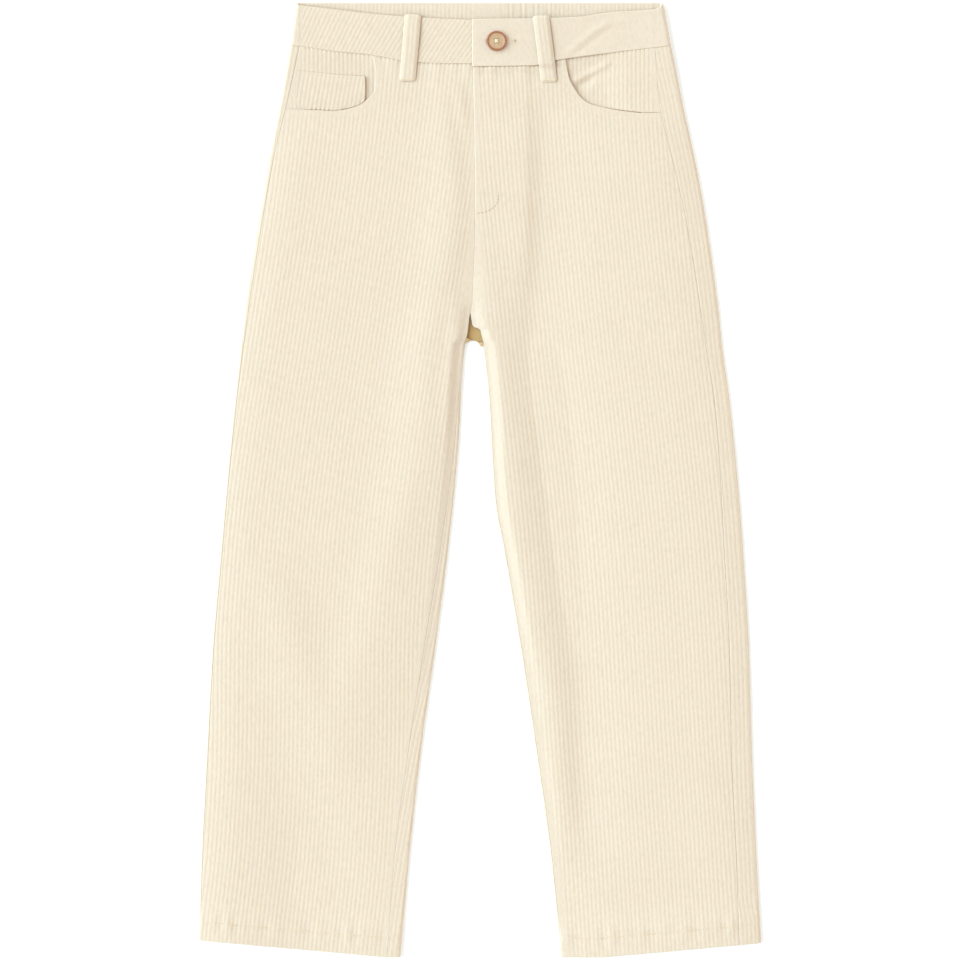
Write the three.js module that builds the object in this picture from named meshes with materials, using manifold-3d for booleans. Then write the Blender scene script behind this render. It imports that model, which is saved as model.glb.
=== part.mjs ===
// Corduroy trousers, laid flat with the front up. Millimetres, +Z up, the waist towards +Y.
// "out" is a distance from the centre line towards the side of one leg.
// "level" is a height along the garment.
// Right and left are the wearer's, so the right leg is the one at -X.

import * as THREE from 'three';
import { mergeVertices } from 'three/addons/utils/BufferGeometryUtils.js';
import Module from 'manifold-3d';

// Cloth
const GROUND = 1.2; // the cloth without its wales
const WALE_RISE = 0.6;
const WALL = GROUND + WALE_RISE;
const WALE_PITCH = 3.6;
const HALF_WALE = WALE_PITCH / 2;
const GAP = 0.3; // between two pieces at a seam
const LAYER_GAP = 0.45; // between a front panel and the facing under it
const CLOTH_COLOUR = 0xf3e9d5;

// Length
const WAIST_LEVEL = 368.9; // the seam below the waistband, at the sides
const CROTCH_LEVEL = 142.8;
const FORK_LEVEL = 121; // where the back panels part into two legs
const HEM_LEVEL = -405.5;
const HEM_DEPTH = 16.5;
const HEM_STEP = 0.6; // length over which the wall thickens to the turned-up hem
const HEM_SLOPE = 0.09; // how the hem's edge rises towards the side
const WAIST_BEND = 90; // how far below the waist the dip of its seam still bends the cloth
const HEM_BEND = 150;

// The outline and the seams of each leg. outWrap and inWrap say how far the back panel comes round the
// outer and the inner fold, and run how far the wales have moved outwards since the waist.
const RIGHT_SECTIONS = [
  { level: 368.9, outer: 161.5, outWrap: 8.5, inner: -20, inWrap: 4, run: 0 },
  { level: 323, outer: 169.6, outWrap: 6.8, inner: -20, inWrap: 4, run: 4.2 },
  { level: 280.5, outer: 178.1, outWrap: 5, inner: -20, inWrap: 4, run: 9 },
  { level: 225.3, outer: 187.4, outWrap: 4, inner: -20, inWrap: 4, run: 16.7 },
  { level: 142.8, outer: 199.8, outWrap: 3.4, inner: 3.9, inWrap: 4, run: 29.7 },
  { level: 121, outer: 202.4, outWrap: 3.2, inner: 7.1, inWrap: 4, run: 33.2 },
  { level: 114.8, outer: 203.2, outWrap: 3, inner: 12.3, inWrap: 1.5, run: 34.2 },
  { level: 25.5, outer: 212.9, outWrap: 2.5, inner: 18.3, inWrap: 3.5, run: 48 },
  { level: -59.5, outer: 220.6, outWrap: 2.5, inner: 26.8, inWrap: 6.5, run: 58.2 },
  { level: -144.5, outer: 227.8, outWrap: 2.2, inner: 37.8, inWrap: 9.5, run: 63.3 },
  { level: -229.5, outer: 232.5, outWrap: 2.2, inner: 49.7, inWrap: 10.5, run: 64.2 },
  { level: -314.5, outer: 236.7, outWrap: 2, inner: 59.1, inWrap: 12.5, run: 68.4 },
  { level: -405.5, outer: 239.3, outWrap: 2, inner: 67.2, inWrap: 11.5, run: 77.5 },
];
const LEFT_SECTIONS = [
  { level: 368.9, outer: 162.8, outWrap: 14, inner: -20, inWrap: 4, run: 0 },
  { level: 311, outer: 174.5, outWrap: 20, inner: -20, inWrap: 4, run: 3 },
  { level: 263, outer: 184.9, outWrap: 18.7, inner: -20, inWrap: 4, run: 6.4 },
  { level: 225.3, outer: 191.7, outWrap: 17, inner: -20, inWrap: 4, run: 10 },
  { level: 142.8, outer: 203.3, outWrap: 15, inner: -11.9, inWrap: 4, run: 18.3 },
  { level: 131, outer: 204.5, outWrap: 14.3, inner: -8.5, inWrap: 4, run: 19.6 },
  { level: 121, outer: 205.5, outWrap: 13.9, inner: -1.8, inWrap: 4, run: 20.6 },
  { level: 114.8, outer: 206.1, outWrap: 13.8, inner: 2.2, inWrap: 1.5, run: 21.2 },
  { level: 68, outer: 212.5, outWrap: 13, inner: 7.2, inWrap: 1.8, run: 26.8 },
  { level: -17, outer: 220.9, outWrap: 15, inner: 12.3, inWrap: 2, run: 36.2 },
  { level: -59.5, outer: 224, outWrap: 16, inner: 20, inWrap: 2, run: 40.2 },
  { level: -144.5, outer: 229.1, outWrap: 16.6, inner: 34.4, inWrap: 2, run: 46.2 },
  { level: -229.5, outer: 231.6, outWrap: 17.5, inner: 47.2, inWrap: 2, run: 51.3 },
  { level: -314.5, outer: 235, outWrap: 17.2, inner: 59.1, inWrap: 2, run: 57.2 },
  { level: -405.5, outer: 239.3, outWrap: 18.5, inner: 68.4, inWrap: 2, run: 62.6 },
];

// The height of the upper side's wale tops, and of the underside, which the belt loops lift at the waist.
const HEIGHTS = [
  { level: 368.9, top: 7.9, floor: 1.7 },
  { level: 349, top: 7.9, floor: 1.7 },
  { level: 320, top: 6.8, floor: 0 },
  { level: 300, top: 6.4, floor: 0 },
  { level: 225, top: 5.6, floor: 0 },
  { level: 142.8, top: 5, floor: 0 },
  { level: 60, top: 4.5, floor: 0 },
  { level: -365, top: 4.4, floor: 0 },
  { level: -388, top: 6.4, floor: 0 },
  { level: -405.5, top: 6.4, floor: 0 },
];

// Soft folds in the upper side: ridges and, where rise is negative, troughs, each along a straight line.
const RIGHT_FOLDS = [
  { out: 46, level: 323, toOut: 42, toLevel: 190, reach: 22, rise: 0.9 },
  { out: 42, level: 150, toOut: 95, toLevel: -30, reach: 26, rise: 2 },
  { out: 150, level: 120, toOut: 165, toLevel: -60, reach: 34, rise: 1.1 },
  { out: 190, level: -90, toOut: 194, toLevel: -190, reach: 26, rise: 2 },
  { out: 130, level: -120, toOut: 110, toLevel: -320, reach: 30, rise: 1.6 },
  { out: 13, level: 142.8, toOut: 14, toLevel: 118, reach: 9, rise: -1.5 },
];
const LEFT_FOLDS = [
  { out: 94, level: 300, toOut: 86, toLevel: 195, reach: 26, rise: 0.9 },
  { out: 84, level: 150, toOut: 104, toLevel: -280, reach: 24, rise: 2.3 },
  { out: 165, level: 60, toOut: 182, toLevel: -250, reach: 32, rise: 1.3 },
  { out: 22, level: 120, toOut: 26, toLevel: 40, reach: 12, rise: 1.2 },
  { out: -2, level: 142.8, toOut: 4, toLevel: 118, reach: 8, rise: -1.5 },
];
const EDGE_FADE = 18; // the folds die away towards the sides of a leg
const LOWEST_TOP = 4; // the upper cloth never lies lower than this
const FOLD_END = 30; // how far a soft fold runs out past its ends

// The waistband's lower edge, its upper edge in front, and the pocket mouths, each seen from above.
const RIGHT_WAIST = [
  { out: -20, y: 353.6 },
  { out: 8, y: 353.6 },
  { out: 51.4, y: 354.5 },
  { out: 70.1, y: 357 },
  { out: 93.1, y: 361.3 },
  { out: 120.3, y: 363.8 },
  { out: 152.6, y: 368.4 },
  { out: 161.5, y: 368.9 },
];
const LEFT_WAIST = [
  { out: -20, y: 351 },
  { out: 45.5, y: 351.9 },
  { out: 64.2, y: 356.2 },
  { out: 113.5, y: 363 },
  { out: 162.8, y: 368.9 },
];
const RIGHT_BAND_TOP = [
  { out: -22, y: 390.6 },
  { out: 8, y: 391 },
  { out: 71.8, y: 394.4 },
  { out: 156.8, y: 403.8 },
];
const LEFT_BAND_TOP = [
  { out: -8, y: 391.4 },
  { out: 45.5, y: 392 },
  { out: 78.6, y: 393 },
  { out: 115, y: 397.6 },
  { out: 149, y: 400 },
  { out: 156.8, y: 404.6 },
];
const RIGHT_MOUTH = [
  { out: 91.4, y: 360.4 },
  { out: 88.8, y: 348 },
  { out: 89.5, y: 331.5 },
  { out: 99.3, y: 320.1 },
  { out: 110.9, y: 315.5 },
  { out: 124, y: 313.3 },
];
const LEFT_MOUTH = [
  { out: 73.3, y: 356.2 },
  { out: 75.8, y: 342.9 },
  { out: 82.4, y: 329.8 },
  { out: 91.4, y: 320.8 },
  { out: 112.3, y: 314.9 },
  { out: 138, y: 311.5 },
];
// The centre front, where the left front's folded edge lies, as x.
const CENTRE_FRONT = [
  { level: 368.9, x: -5.5 },
  { level: 225, x: -3.8 },
  { level: 150, x: -6.4 },
  { level: 142.8, x: -7.9 },
];
const CENTRE_BACK_X = -3.8;

// Waistband
const BAND_WALL = 2.6; // two layers of cloth
const BAND_FLOOR = 1.7;
const BAND_TOP = 8.2;
const BAND_BACK_TOP = 405.5; // the upper edge of the back waistband
const BAND_OUTER_TOP = 156.2; // half the width of the waist at that edge
const RIGHT_BAND_END_X = 21.5; // the right waistband runs on under the tab to here
const TAB_END_X = -6.4;
const TAB_RAISE = BAND_WALL + GAP;
const TAB_RAISED_TO = 25;
const TAB_LEVEL_FROM = 54;
const RIGHT_BAND_LEAN = { atCentre: 36, atSide: 20 }; // degrees off the upright

// Fly
const FLY_END_LEVEL = 225;
const FLY_STEP_X = 40.4; // the outer edge of the shield
const FLY_STEP_RUN = 7;
const FLY_RAISE = 1.8;
const SHIELD_INNER_X = -20.8;

// Pockets
const FACING_LAP = 12; // how far a facing runs on under the front
const COIN_TOP_Y = 345.1;
const COIN_INNER_OUT = 97;
const COIN_OUTER_OUT = 156;
const COIN_LEAN = 9;

// Belt loops
const LOOP_WIDTH = 14;
const LOOP_WALL = 1.9;
const LOOP_BACK_WALL = 1.4;
const LOOP_BELOW_BAND = 17;
const LOOP_OVER_EDGE = 1.3; // how far a loop's end turns down behind the waistband's edge
const LOOP_BOW = 0.5; // how far the middle of a loop stands off the waistband
const LOOP_BEND = { belowEdge: 2, belowSeam: 1, ontoPanel: 6 }; // where a loop bends, along it
const FRONT_LOOPS = [
  { name: 'belt_loop_front_right', side: 'right', topOut: 56.6, bottomOut: 61.4 },
  { name: 'belt_loop_front_left', side: 'left', topOut: 52.2, bottomOut: 59.1 },
];
const BACK_LOOPS = [
  { name: 'belt_loop_back_right', x: -90 },
  { name: 'belt_loop_back_middle', x: CENTRE_BACK_X },
  { name: 'belt_loop_back_left', x: 90 },
];

// Button
const BUTTON = { x: 14.4, y: 372.7, radius: 8.5, thick: 2.8, rim: 1.5, dish: 0.7, bevel: 0.9 };
const BUTTON_HOLE = { radius: 0.75, spread: 1.9 };
const BUTTON_COLOUR = 0xbba082;
const BUTTON_SIDES = 32;

// How finely the plain side of each piece is divided
const FOLD_STEPS = 4;
const UNDERSIDE_COLUMNS = 6;
const FRONT_COLUMNS = 9;
const POCKET_COLUMNS = 6;
const BAND_COLUMNS = 10;
const SHIELD_COLUMNS = 6;
const LOOP_COLUMNS = 6;
const BAND_ROWS = [0, 0.5, 1];
const BODY_ROWS = [280, 225.3, 170, CROTCH_LEVEL - 0.1, FORK_LEVEL, 114.8];
const LEG_ROWS = [60, -20, -110, -210, -300, -365.5];
const NEAR = 0.05; // points nearer than this to a seam are moved onto it

// Reading the tables

// A smooth curve through one column of a table, which never overshoots its rows.
function curve(table, key, by) {
  const rows = [...table].sort((a, b) => a[by] - b[by]);
  const secant = (i) => (rows[i + 1][key] - rows[i][key]) / (rows[i + 1][by] - rows[i][by]);
  const slope = rows.map((row, i) => {
    if (i === 0) return secant(0);
    if (i === rows.length - 1) return secant(i - 1);
    const before = secant(i - 1);
    const after = secant(i);
    return before * after <= 0 ? 0 : (2 * before * after) / (before + after);
  });
  return (at) => {
    if (at <= rows[0][by]) return rows[0][key];
    if (at >= rows.at(-1)[by]) return rows.at(-1)[key];
    const i = rows.findIndex((row) => row[by] > at) - 1;
    const span = rows[i + 1][by] - rows[i][by];
    const t = (at - rows[i][by]) / span;
    const near = (1 + 2 * t) * (1 - t) * (1 - t) * rows[i][key] + t * (1 - t) * (1 - t) * span * slope[i];
    const far = t * t * (3 - 2 * t) * rows[i + 1][key] + t * t * (t - 1) * span * slope[i + 1];
    return near + far;
  };
}

function makeLeg(sign, hemRiseFrom, { sections, folds, waist, bandTop, mouth }) {
  return {
    sign,
    folds,
    mouth,
    hemRise: { from: hemRiseFrom, slope: HEM_SLOPE },
    outer: curve(sections, 'outer', 'level'),
    inner: curve(sections, 'inner', 'level'),
    outWrap: curve(sections, 'outWrap', 'level'),
    inWrap: curve(sections, 'inWrap', 'level'),
    run: curve(sections, 'run', 'level'),
    waistY: curve(waist, 'y', 'out'),
    bandTopY: curve(bandTop, 'y', 'out'),
  };
}

const LEGS = {
  right: makeLeg(-1, 80, {
    sections: RIGHT_SECTIONS,
    folds: RIGHT_FOLDS,
    waist: RIGHT_WAIST,
    bandTop: RIGHT_BAND_TOP,
    mouth: RIGHT_MOUTH,
  }),
  left: makeLeg(1, 105, {
    sections: LEFT_SECTIONS,
    folds: LEFT_FOLDS,
    waist: LEFT_WAIST,
    bandTop: LEFT_BAND_TOP,
    mouth: LEFT_MOUTH,
  }),
};
const topAt = curve(HEIGHTS, 'top', 'level');
const floorAt = curve(HEIGHTS, 'floor', 'level');
const centreFrontX = curve(CENTRE_FRONT, 'x', 'level');

const clamp = THREE.MathUtils.clamp;
const lerp = THREE.MathUtils.lerp;
const smooth = (t) => THREE.MathUtils.smoothstep(t, 0, 1);

// The height that one soft fold adds at a place.
function foldRise(fold, out, level) {
  const alongOut = fold.toOut - fold.out;
  const alongLevel = fold.toLevel - fold.level;
  const length = Math.hypot(alongOut, alongLevel);
  const along = ((out - fold.out) * alongOut + (level - fold.level) * alongLevel) / length;
  const across = ((out - fold.out) * alongLevel - (level - fold.level) * alongOut) / length;
  const past = Math.max(-along, along - length, 0);
  return fold.rise * Math.exp(-((across / fold.reach) ** 2) - (past / FOLD_END) ** 2);
}

// The extra height over the fly shield, which stops in a step at the shield's outer edge.
function flyRise(x, level) {
  if (x < centreFrontX(level)) return 0;
  const acrossFly = smooth((FLY_STEP_X - x) / FLY_STEP_RUN);
  const downFly = smooth((level - FLY_END_LEVEL) / (WAIST_LEVEL - FLY_END_LEVEL));
  return FLY_RAISE * acrossFly * downFly;
}

// A level of one leg: its two folds, its heights, and how far its row of cloth leaves the level.
function section(leg, level) {
  const floor = floorAt(level);
  const top = topAt(level);
  const radius = (top - floor) / 2;
  const outer = leg.outer(level);
  const inner = leg.inner(level);
  const split = level < CROTCH_LEVEL;
  const nearWaist = clamp(1 - (WAIST_LEVEL - level) / WAIST_BEND, 0, 1);
  const nearHem = smooth(1 - (level - HEM_LEVEL) / HEM_BEND);
  return {
    floor,
    radius,
    outer,
    inner: split ? inner : -Infinity,
    topZ(out) {
      const toEdge = split ? Math.min(outer - out, out - inner) : outer - out;
      const soft = leg.folds.reduce((sum, fold) => sum + foldRise(fold, out, level), 0);
      const lifted = top + soft * smooth((toEdge - radius) / EDGE_FADE);
      return Math.max(lifted, Math.min(top, LOWEST_TOP)) + flyRise(leg.sign * out, level);
    },
    y(out, upper) {
      const dip = (leg.waistY(out) - WAIST_LEVEL) * nearWaist * upper;
      const rise = leg.hemRise.slope * Math.max(0, out - leg.hemRise.from) * nearHem;
      return level + dip + rise;
    },
  };
}

// A level of the waistband: share runs from 0 at its lower edge to 1 at its upper edge.
function bandSection(leg, share) {
  const outer = lerp(leg.outer(WAIST_LEVEL), BAND_OUTER_TOP, share);
  return {
    floor: BAND_FLOOR,
    radius: (BAND_TOP - BAND_FLOOR) / 2,
    outer,
    inner: -Infinity,
    topZ: () => BAND_TOP,
    y(out, upper) {
      const front = lerp(leg.waistY(out) + GAP, leg.bandTopY(out), share);
      const back = lerp(WAIST_LEVEL + GAP, BAND_BACK_TOP, share);
      return lerp(back, front, upper);
    },
  };
}

// A point of the folded tube. "at" is measured over the upper side when face is 1 and along the underside
// when it is -1, and goes on round a fold past its start. depth is how far in from the outer side it lies.
function place(leg, row, at, face, depth) {
  const outerStart = row.outer - row.radius;
  const innerStart = row.inner + row.radius;
  const way = at > outerStart ? 1 : -1;
  const start = way > 0 ? outerStart : innerStart;
  const past = Math.max(0, way * (at - start));
  const angle = Math.min(past / row.radius, Math.PI);
  const rounded = past > 0;
  const beyond = Math.max(0, past - Math.PI * row.radius);
  const upper = (1 + face * Math.cos(angle)) / 2;
  const normalOut = rounded ? way * Math.sin(angle) : 0;
  const normalZ = face * Math.cos(angle);
  const out = rounded ? start + way * (row.radius * Math.sin(angle) - beyond) : at;
  let z = row.floor + row.radius + row.radius * normalZ;
  if (upper === 1) z = row.topZ(out);
  return new THREE.Vector3(
    leg.sign * (out - normalOut * depth),
    row.y(out, upper),
    z - normalZ * depth,
  );
}

// How far the back panel reaches from the underside round a fold to its seam, which is wrap in from the fold.
function wrapLength(radius, wrap) {
  if (wrap >= radius) return Math.PI * radius + wrap - radius;
  return radius * (Math.PI - Math.asin(1 - wrap / radius));
}

// The depth of the ribbed surface at a distance across the wales.
function waleDepth(across) {
  const share = across / WALE_PITCH - Math.floor(across / WALE_PITCH);
  return WALE_RISE * (1 - Math.abs(1 - 2 * share));
}

// The places of all wale tops and hollows in a row, with those past an end gathered on it.
function waleLines(run, from, to, first, last) {
  const lines = [from];
  for (let i = first; i <= last; i += 1) {
    const at = run + i * HALF_WALE;
    if (at - from < NEAR) lines.push(from);
    else if (to - at < NEAR) lines.push(to);
    else lines.push(at);
  }
  lines.push(to);
  return lines;
}

function evenly(count, from, to) {
  return Array.from({ length: count + 1 }, (_, i) => lerp(from, to, i / count));
}

// Closed walls

// The triangles between two lines of points, walking along both.
function zip(first, second, add) {
  const shares = (line) => {
    const sums = [0];
    for (let i = 1; i < line.length; i += 1) sums.push(sums[i - 1] + line[i].distanceTo(line[i - 1]));
    return sums.map((sum) => sum / sums.at(-1));
  };
  const firstShares = shares(first);
  const secondShares = shares(second);
  let i = 0;
  let k = 0;
  while (i < first.length - 1 || k < second.length - 1) {
    const stepFirst = k === second.length - 1
      || (i < first.length - 1 && firstShares[i + 1] <= secondShares[k + 1]);
    if (stepFirst) {
      add(first[i], first[i + 1], second[k]);
      i += 1;
    } else {
      add(second[k + 1], second[k], first[i]);
      k += 1;
    }
  }
}

// A closed wall between two grids of points with the same number of rows.
function wall(outer, inner) {
  const positions = [];
  const numbers = new Map();
  const faces = [];
  const number = (point) => {
    const key = point.toArray().map((value) => Math.round(value * 1000)).join();
    if (!numbers.has(key)) {
      numbers.set(key, positions.length / 3);
      positions.push(...point.toArray());
    }
    return numbers.get(key);
  };
  const add = (a, b, c) => {
    const face = [number(a), number(b), number(c)];
    if (new Set(face).size === 3) faces.push(face);
  };
  const sheet = (rows, flip) => {
    for (let j = 0; j < rows.length - 1; j += 1) {
      for (let i = 0; i < rows[j].length - 1; i += 1) {
        const [a, b, c, d] = [rows[j][i], rows[j + 1][i], rows[j + 1][i + 1], rows[j][i + 1]];
        if (flip) {
          add(a, c, b);
          add(a, d, c);
        } else {
          add(a, b, c);
          add(a, c, d);
        }
      }
    }
  };
  sheet(outer, false);
  sheet(inner, true);
  zip(outer[0], inner[0], add);
  zip(inner.at(-1), outer.at(-1), add);
  zip(inner.map((row) => row[0]), outer.map((row) => row[0]), add);
  zip(outer.map((row) => row.at(-1)), inner.map((row) => row.at(-1)), add);
  return solidGeometry(positions, faces);
}

// A geometry whose faces point out.
function solidGeometry(positions, faces) {
  const corner = (i) => new THREE.Vector3().fromArray(positions, 3 * i);
  const volume = faces.reduce((sum, [a, b, c]) => sum + corner(a).dot(corner(b).cross(corner(c))), 0);
  const turned = volume < 0 ? faces.map(([a, b, c]) => [a, c, b]) : faces;
  const geometry = new THREE.BufferGeometry();
  geometry.setAttribute('position', new THREE.Float32BufferAttribute(positions, 3));
  geometry.setIndex(turned.flat());
  geometry.computeVertexNormals();
  return geometry;
}

const corduroy = new THREE.MeshStandardMaterial({ color: CLOTH_COLOUR, roughness: 0.95, metalness: 0 });
const trousers = new THREE.Group();

function addPiece(name, geometry, material = corduroy) {
  const mesh = new THREE.Mesh(geometry, material);
  mesh.name = name;
  trousers.add(mesh);
}

// Panels

// The level whose row of cloth passes through a place on the upper side.
function levelOf(leg, out, y) {
  let level = y;
  for (let i = 0; i < 8; i += 1) level += y - section(leg, level).y(out, 1);
  return level;
}

const mouthRows = (leg) => leg.mouth.map(({ out, y }) => ({ out, level: levelOf(leg, out, y) }));

// The levels at which the panels of a leg have their rows of points.
function panelLevels(leg) {
  const pocket = mouthRows(leg).slice(1).map((row) => row.level);
  const hem = [HEM_LEVEL + HEM_DEPTH, HEM_LEVEL + HEM_DEPTH - HEM_STEP, HEM_LEVEL];
  return [WAIST_LEVEL, ...pocket, ...BODY_ROWS, ...LEG_ROWS, ...hem];
}

const hemmed = (level) => level < HEM_LEVEL + HEM_DEPTH - HEM_STEP / 2;
const wallAt = (level) => (hemmed(level) ? WALL + GROUND : WALL);

// Where the front panel of a leg ends towards the side, on its upper side.
function frontOuter(leg, level) {
  const row = section(leg, level);
  const rows = mouthRows(leg);
  if (level > rows.at(-1).level + 0.01) return curve(rows, 'out', 'level')(level);
  return row.outer - row.radius + Math.PI * row.radius - wrapLength(row.radius, leg.outWrap(level)) - GAP / 2;
}

function frontInner(leg, level) {
  const row = section(leg, level);
  if (level >= CROTCH_LEVEL) return leg.sign * centreFrontX(level) + (GAP / 2);
  const wrapped = wrapLength(row.radius, leg.inWrap(level));
  return row.inner + row.radius - Math.PI * row.radius + wrapped + GAP / 2;
}

function frontPanel(leg) {
  const levels = panelLevels(leg);
  const ends = levels.map((level) => ({
    level,
    from: frontInner(leg, level),
    to: frontOuter(leg, level),
    run: leg.run(level),
  }));
  const first = Math.floor(Math.min(...ends.map((end) => (end.from - end.run) / HALF_WALE)));
  const last = Math.ceil(Math.max(...ends.map((end) => (end.to - end.run) / HALF_WALE)));
  const outer = ends.map(({ level, from, to, run }) => {
    const row = section(leg, level);
    return waleLines(run, from, to, first, last).map((at) => place(leg, row, at, 1, waleDepth(at - run)));
  });
  const inner = ends.map(({ level, from, to }) => {
    const row = section(leg, level);
    const flatTo = Math.min(to, row.outer - row.radius);
    const flatFrom = Math.max(from, row.inner + row.radius);
    const columns = [from, ...evenly(FRONT_COLUMNS, flatFrom, flatTo), to];
    return columns.map((at) => place(leg, row, at, 1, wallAt(level)));
  });
  return wall(outer, inner);
}

// Where the back panel runs in a row: its flat underside, and its lengths round the two folds.
function backRow(leg, level) {
  const row = section(leg, level);
  const whole = level >= FORK_LEVEL;
  const centre = leg.sign * CENTRE_BACK_X + GAP / 2;
  return {
    row: whole ? { ...row, inner: -Infinity } : row,
    flatFrom: whole ? centre : row.inner + row.radius,
    flatTo: row.outer - row.radius,
    inLength: whole ? 0 : wrapLength(row.radius, leg.inWrap(level)) - GAP / 2,
    outLength: wrapLength(row.radius, leg.outWrap(level)) - GAP / 2,
  };
}

function backPanel(leg) {
  const levels = panelLevels(leg);
  const rows = levels.map((level) => ({ level, ...backRow(leg, level) }));
  const inCount = Math.ceil(Math.max(...rows.map((back) => back.inLength)) / HALF_WALE);
  const outCount = Math.ceil(Math.max(...rows.map((back) => back.outLength)) / HALF_WALE);
  const ribbed = (back, way, length, count) => evenly(count, 0, count * HALF_WALE).map((m) => {
    const past = length - m < NEAR ? length : m;
    const start = way > 0 ? back.flatTo : back.flatFrom;
    return place(leg, back.row, start + way * past, -1, waleDepth(past));
  });
  const plain = (back, way, length) => {
    const turn = Math.PI * back.row.radius;
    const steps = [...evenly(FOLD_STEPS, 0, turn).map((m) => Math.min(m, length)), length];
    const start = way > 0 ? back.flatTo : back.flatFrom;
    return steps.map((past) => place(leg, back.row, start + way * past, -1, wallAt(back.level)));
  };
  const under = (back, depth) => evenly(UNDERSIDE_COLUMNS, back.flatFrom, back.flatTo)
    .slice(1, -1)
    .map((at) => place(leg, back.row, at, -1, depth));
  const outer = rows.map((back) => [
    ...ribbed(back, -1, back.inLength, inCount).reverse(),
    ...under(back, 0),
    ...ribbed(back, 1, back.outLength, outCount),
  ]);
  const inner = rows.map((back) => [
    ...plain(back, -1, back.inLength).reverse(),
    ...under(back, wallAt(back.level)),
    ...plain(back, 1, back.outLength),
  ]);
  return wall(outer, inner);
}

// Pockets

// A ribbed piece under the pocket mouth, between two depths below the upper side's wale tops.
function pocketPiece(leg, rows, runAt, depth) {
  const ends = rows.map((end) => ({ ...end, run: runAt(end.level) }));
  const first = Math.floor(Math.min(...ends.map((end) => (end.from - end.run) / HALF_WALE)));
  const last = Math.ceil(Math.max(...ends.map((end) => (end.to - end.run) / HALF_WALE)));
  const outer = ends.map(({ level, from, to, run }) => {
    const row = section(leg, level);
    return waleLines(run, from, to, first, last)
      .map((at) => place(leg, row, at, 1, depth + waleDepth(at - run)));
  });
  const inner = ends.map(({ level, from, to }) => {
    const row = section(leg, level);
    return evenly(POCKET_COLUMNS, from, to).map((at) => place(leg, row, at, 1, depth + WALL));
  });
  return wall(outer, inner);
}

function pocketFacing(leg) {
  const lapped = leg.mouth.map(({ out, y }, i) => {
    const turn = (Math.PI / 2) * (i / (leg.mouth.length - 1));
    const shiftedOut = out - FACING_LAP * Math.cos(turn);
    return { from: shiftedOut, level: levelOf(leg, shiftedOut, y - FACING_LAP * Math.sin(turn)) };
  });
  lapped[0].level = WAIST_LEVEL;
  const rows = lapped.map(({ from, level }) => ({
    level,
    from,
    to: section(leg, level).outer - leg.outWrap(level) - GAP,
  }));
  return pocketPiece(leg, rows, () => 0, WALL + LAYER_GAP);
}

function coinPocket(leg) {
  const top = levelOf(leg, (COIN_INNER_OUT + COIN_OUTER_OUT) / 2, COIN_TOP_Y);
  const mouth = mouthRows(leg).slice(0, -1).filter((row) => row.level < top - 1);
  const rows = [{ level: top, from: COIN_INNER_OUT, to: COIN_OUTER_OUT }];
  mouth.forEach(({ out, level }) => {
    rows.push({ level: level + 2 * GAP, from: Math.max(COIN_INNER_OUT, out + 2 * GAP), to: COIN_OUTER_OUT });
  });
  const lean = Math.tan(THREE.MathUtils.degToRad(COIN_LEAN));
  return pocketPiece(leg, rows, (level) => (top - level) * lean, 0);
}

// Fly

function flyShield() {
  const levels = [WAIST_LEVEL - GAP, 320, 272, FLY_END_LEVEL];
  const layer = (depth) => levels.map((level) => {
    const leg = LEGS.left;
    const row = section(leg, level);
    return evenly(SHIELD_COLUMNS, SHIELD_INNER_X, FLY_STEP_X - FLY_STEP_RUN / 3).map((x) => {
      const z = topAt(level) - WALL - GAP - depth;
      return new THREE.Vector3(x, row.y(Math.max(x, 0), 1) - GAP, z);
    });
  });
  return wall(layer(0), layer(GROUND));
}

// Waistband

function bandFrontRight() {
  const leg = LEGS.right;
  const from = -RIGHT_BAND_END_X;
  const to = leg.outer(WAIST_LEVEL) - leg.outWrap(WAIST_LEVEL) - GAP;
  const { atCentre, atSide } = RIGHT_BAND_LEAN;
  const leanAt = (out) => THREE.MathUtils.degToRad(lerp(atCentre, atSide, clamp(out / to, 0, 1)));
  const height = BAND_BACK_TOP - WAIST_LEVEL;
  const feet = [from];
  while (feet.at(-1) < to + height) feet.push(feet.at(-1) + HALF_WALE / Math.cos(leanAt(feet.at(-1))));
  const outer = BAND_ROWS.map((share) => {
    const row = bandSection(leg, share);
    const tops = feet.map((foot, i) => {
      const at = clamp(foot - Math.tan(leanAt(foot)) * height * share, from, to);
      const onEdge = at === from || at === to;
      return place(leg, row, at, 1, onEdge || i % 2 ? WALE_RISE : 0);
    });
    return [place(leg, row, from, 1, WALE_RISE), ...tops, place(leg, row, to, 1, WALE_RISE)];
  });
  const inner = BAND_ROWS.map((share) => {
    const row = bandSection(leg, share);
    return evenly(BAND_COLUMNS, from, to).map((at) => place(leg, row, at, 1, BAND_WALL));
  });
  return wall(outer, inner);
}

// How much the lapped tab lifts the left waistband.
const tabRaise = (x) => TAB_RAISE * smooth((TAB_LEVEL_FROM - x) / (TAB_LEVEL_FROM - TAB_RAISED_TO));

function bandFrontLeft() {
  const leg = LEGS.left;
  const to = leg.outer(WAIST_LEVEL) - leg.outWrap(WAIST_LEVEL) - GAP;
  const places = [
    ...evenly(BAND_COLUMNS, TAB_END_X, TAB_LEVEL_FROM),
    ...evenly(BAND_COLUMNS, TAB_LEVEL_FROM, to).slice(1),
  ];
  const layer = (depth) => BAND_ROWS.map((share) => {
    const row = bandSection(leg, share);
    return places.map((at) => {
      const point = place(leg, row, at, 1, depth);
      point.z += tabRaise(at);
      return point;
    });
  });
  return wall(layer(0), layer(BAND_WALL));
}

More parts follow.
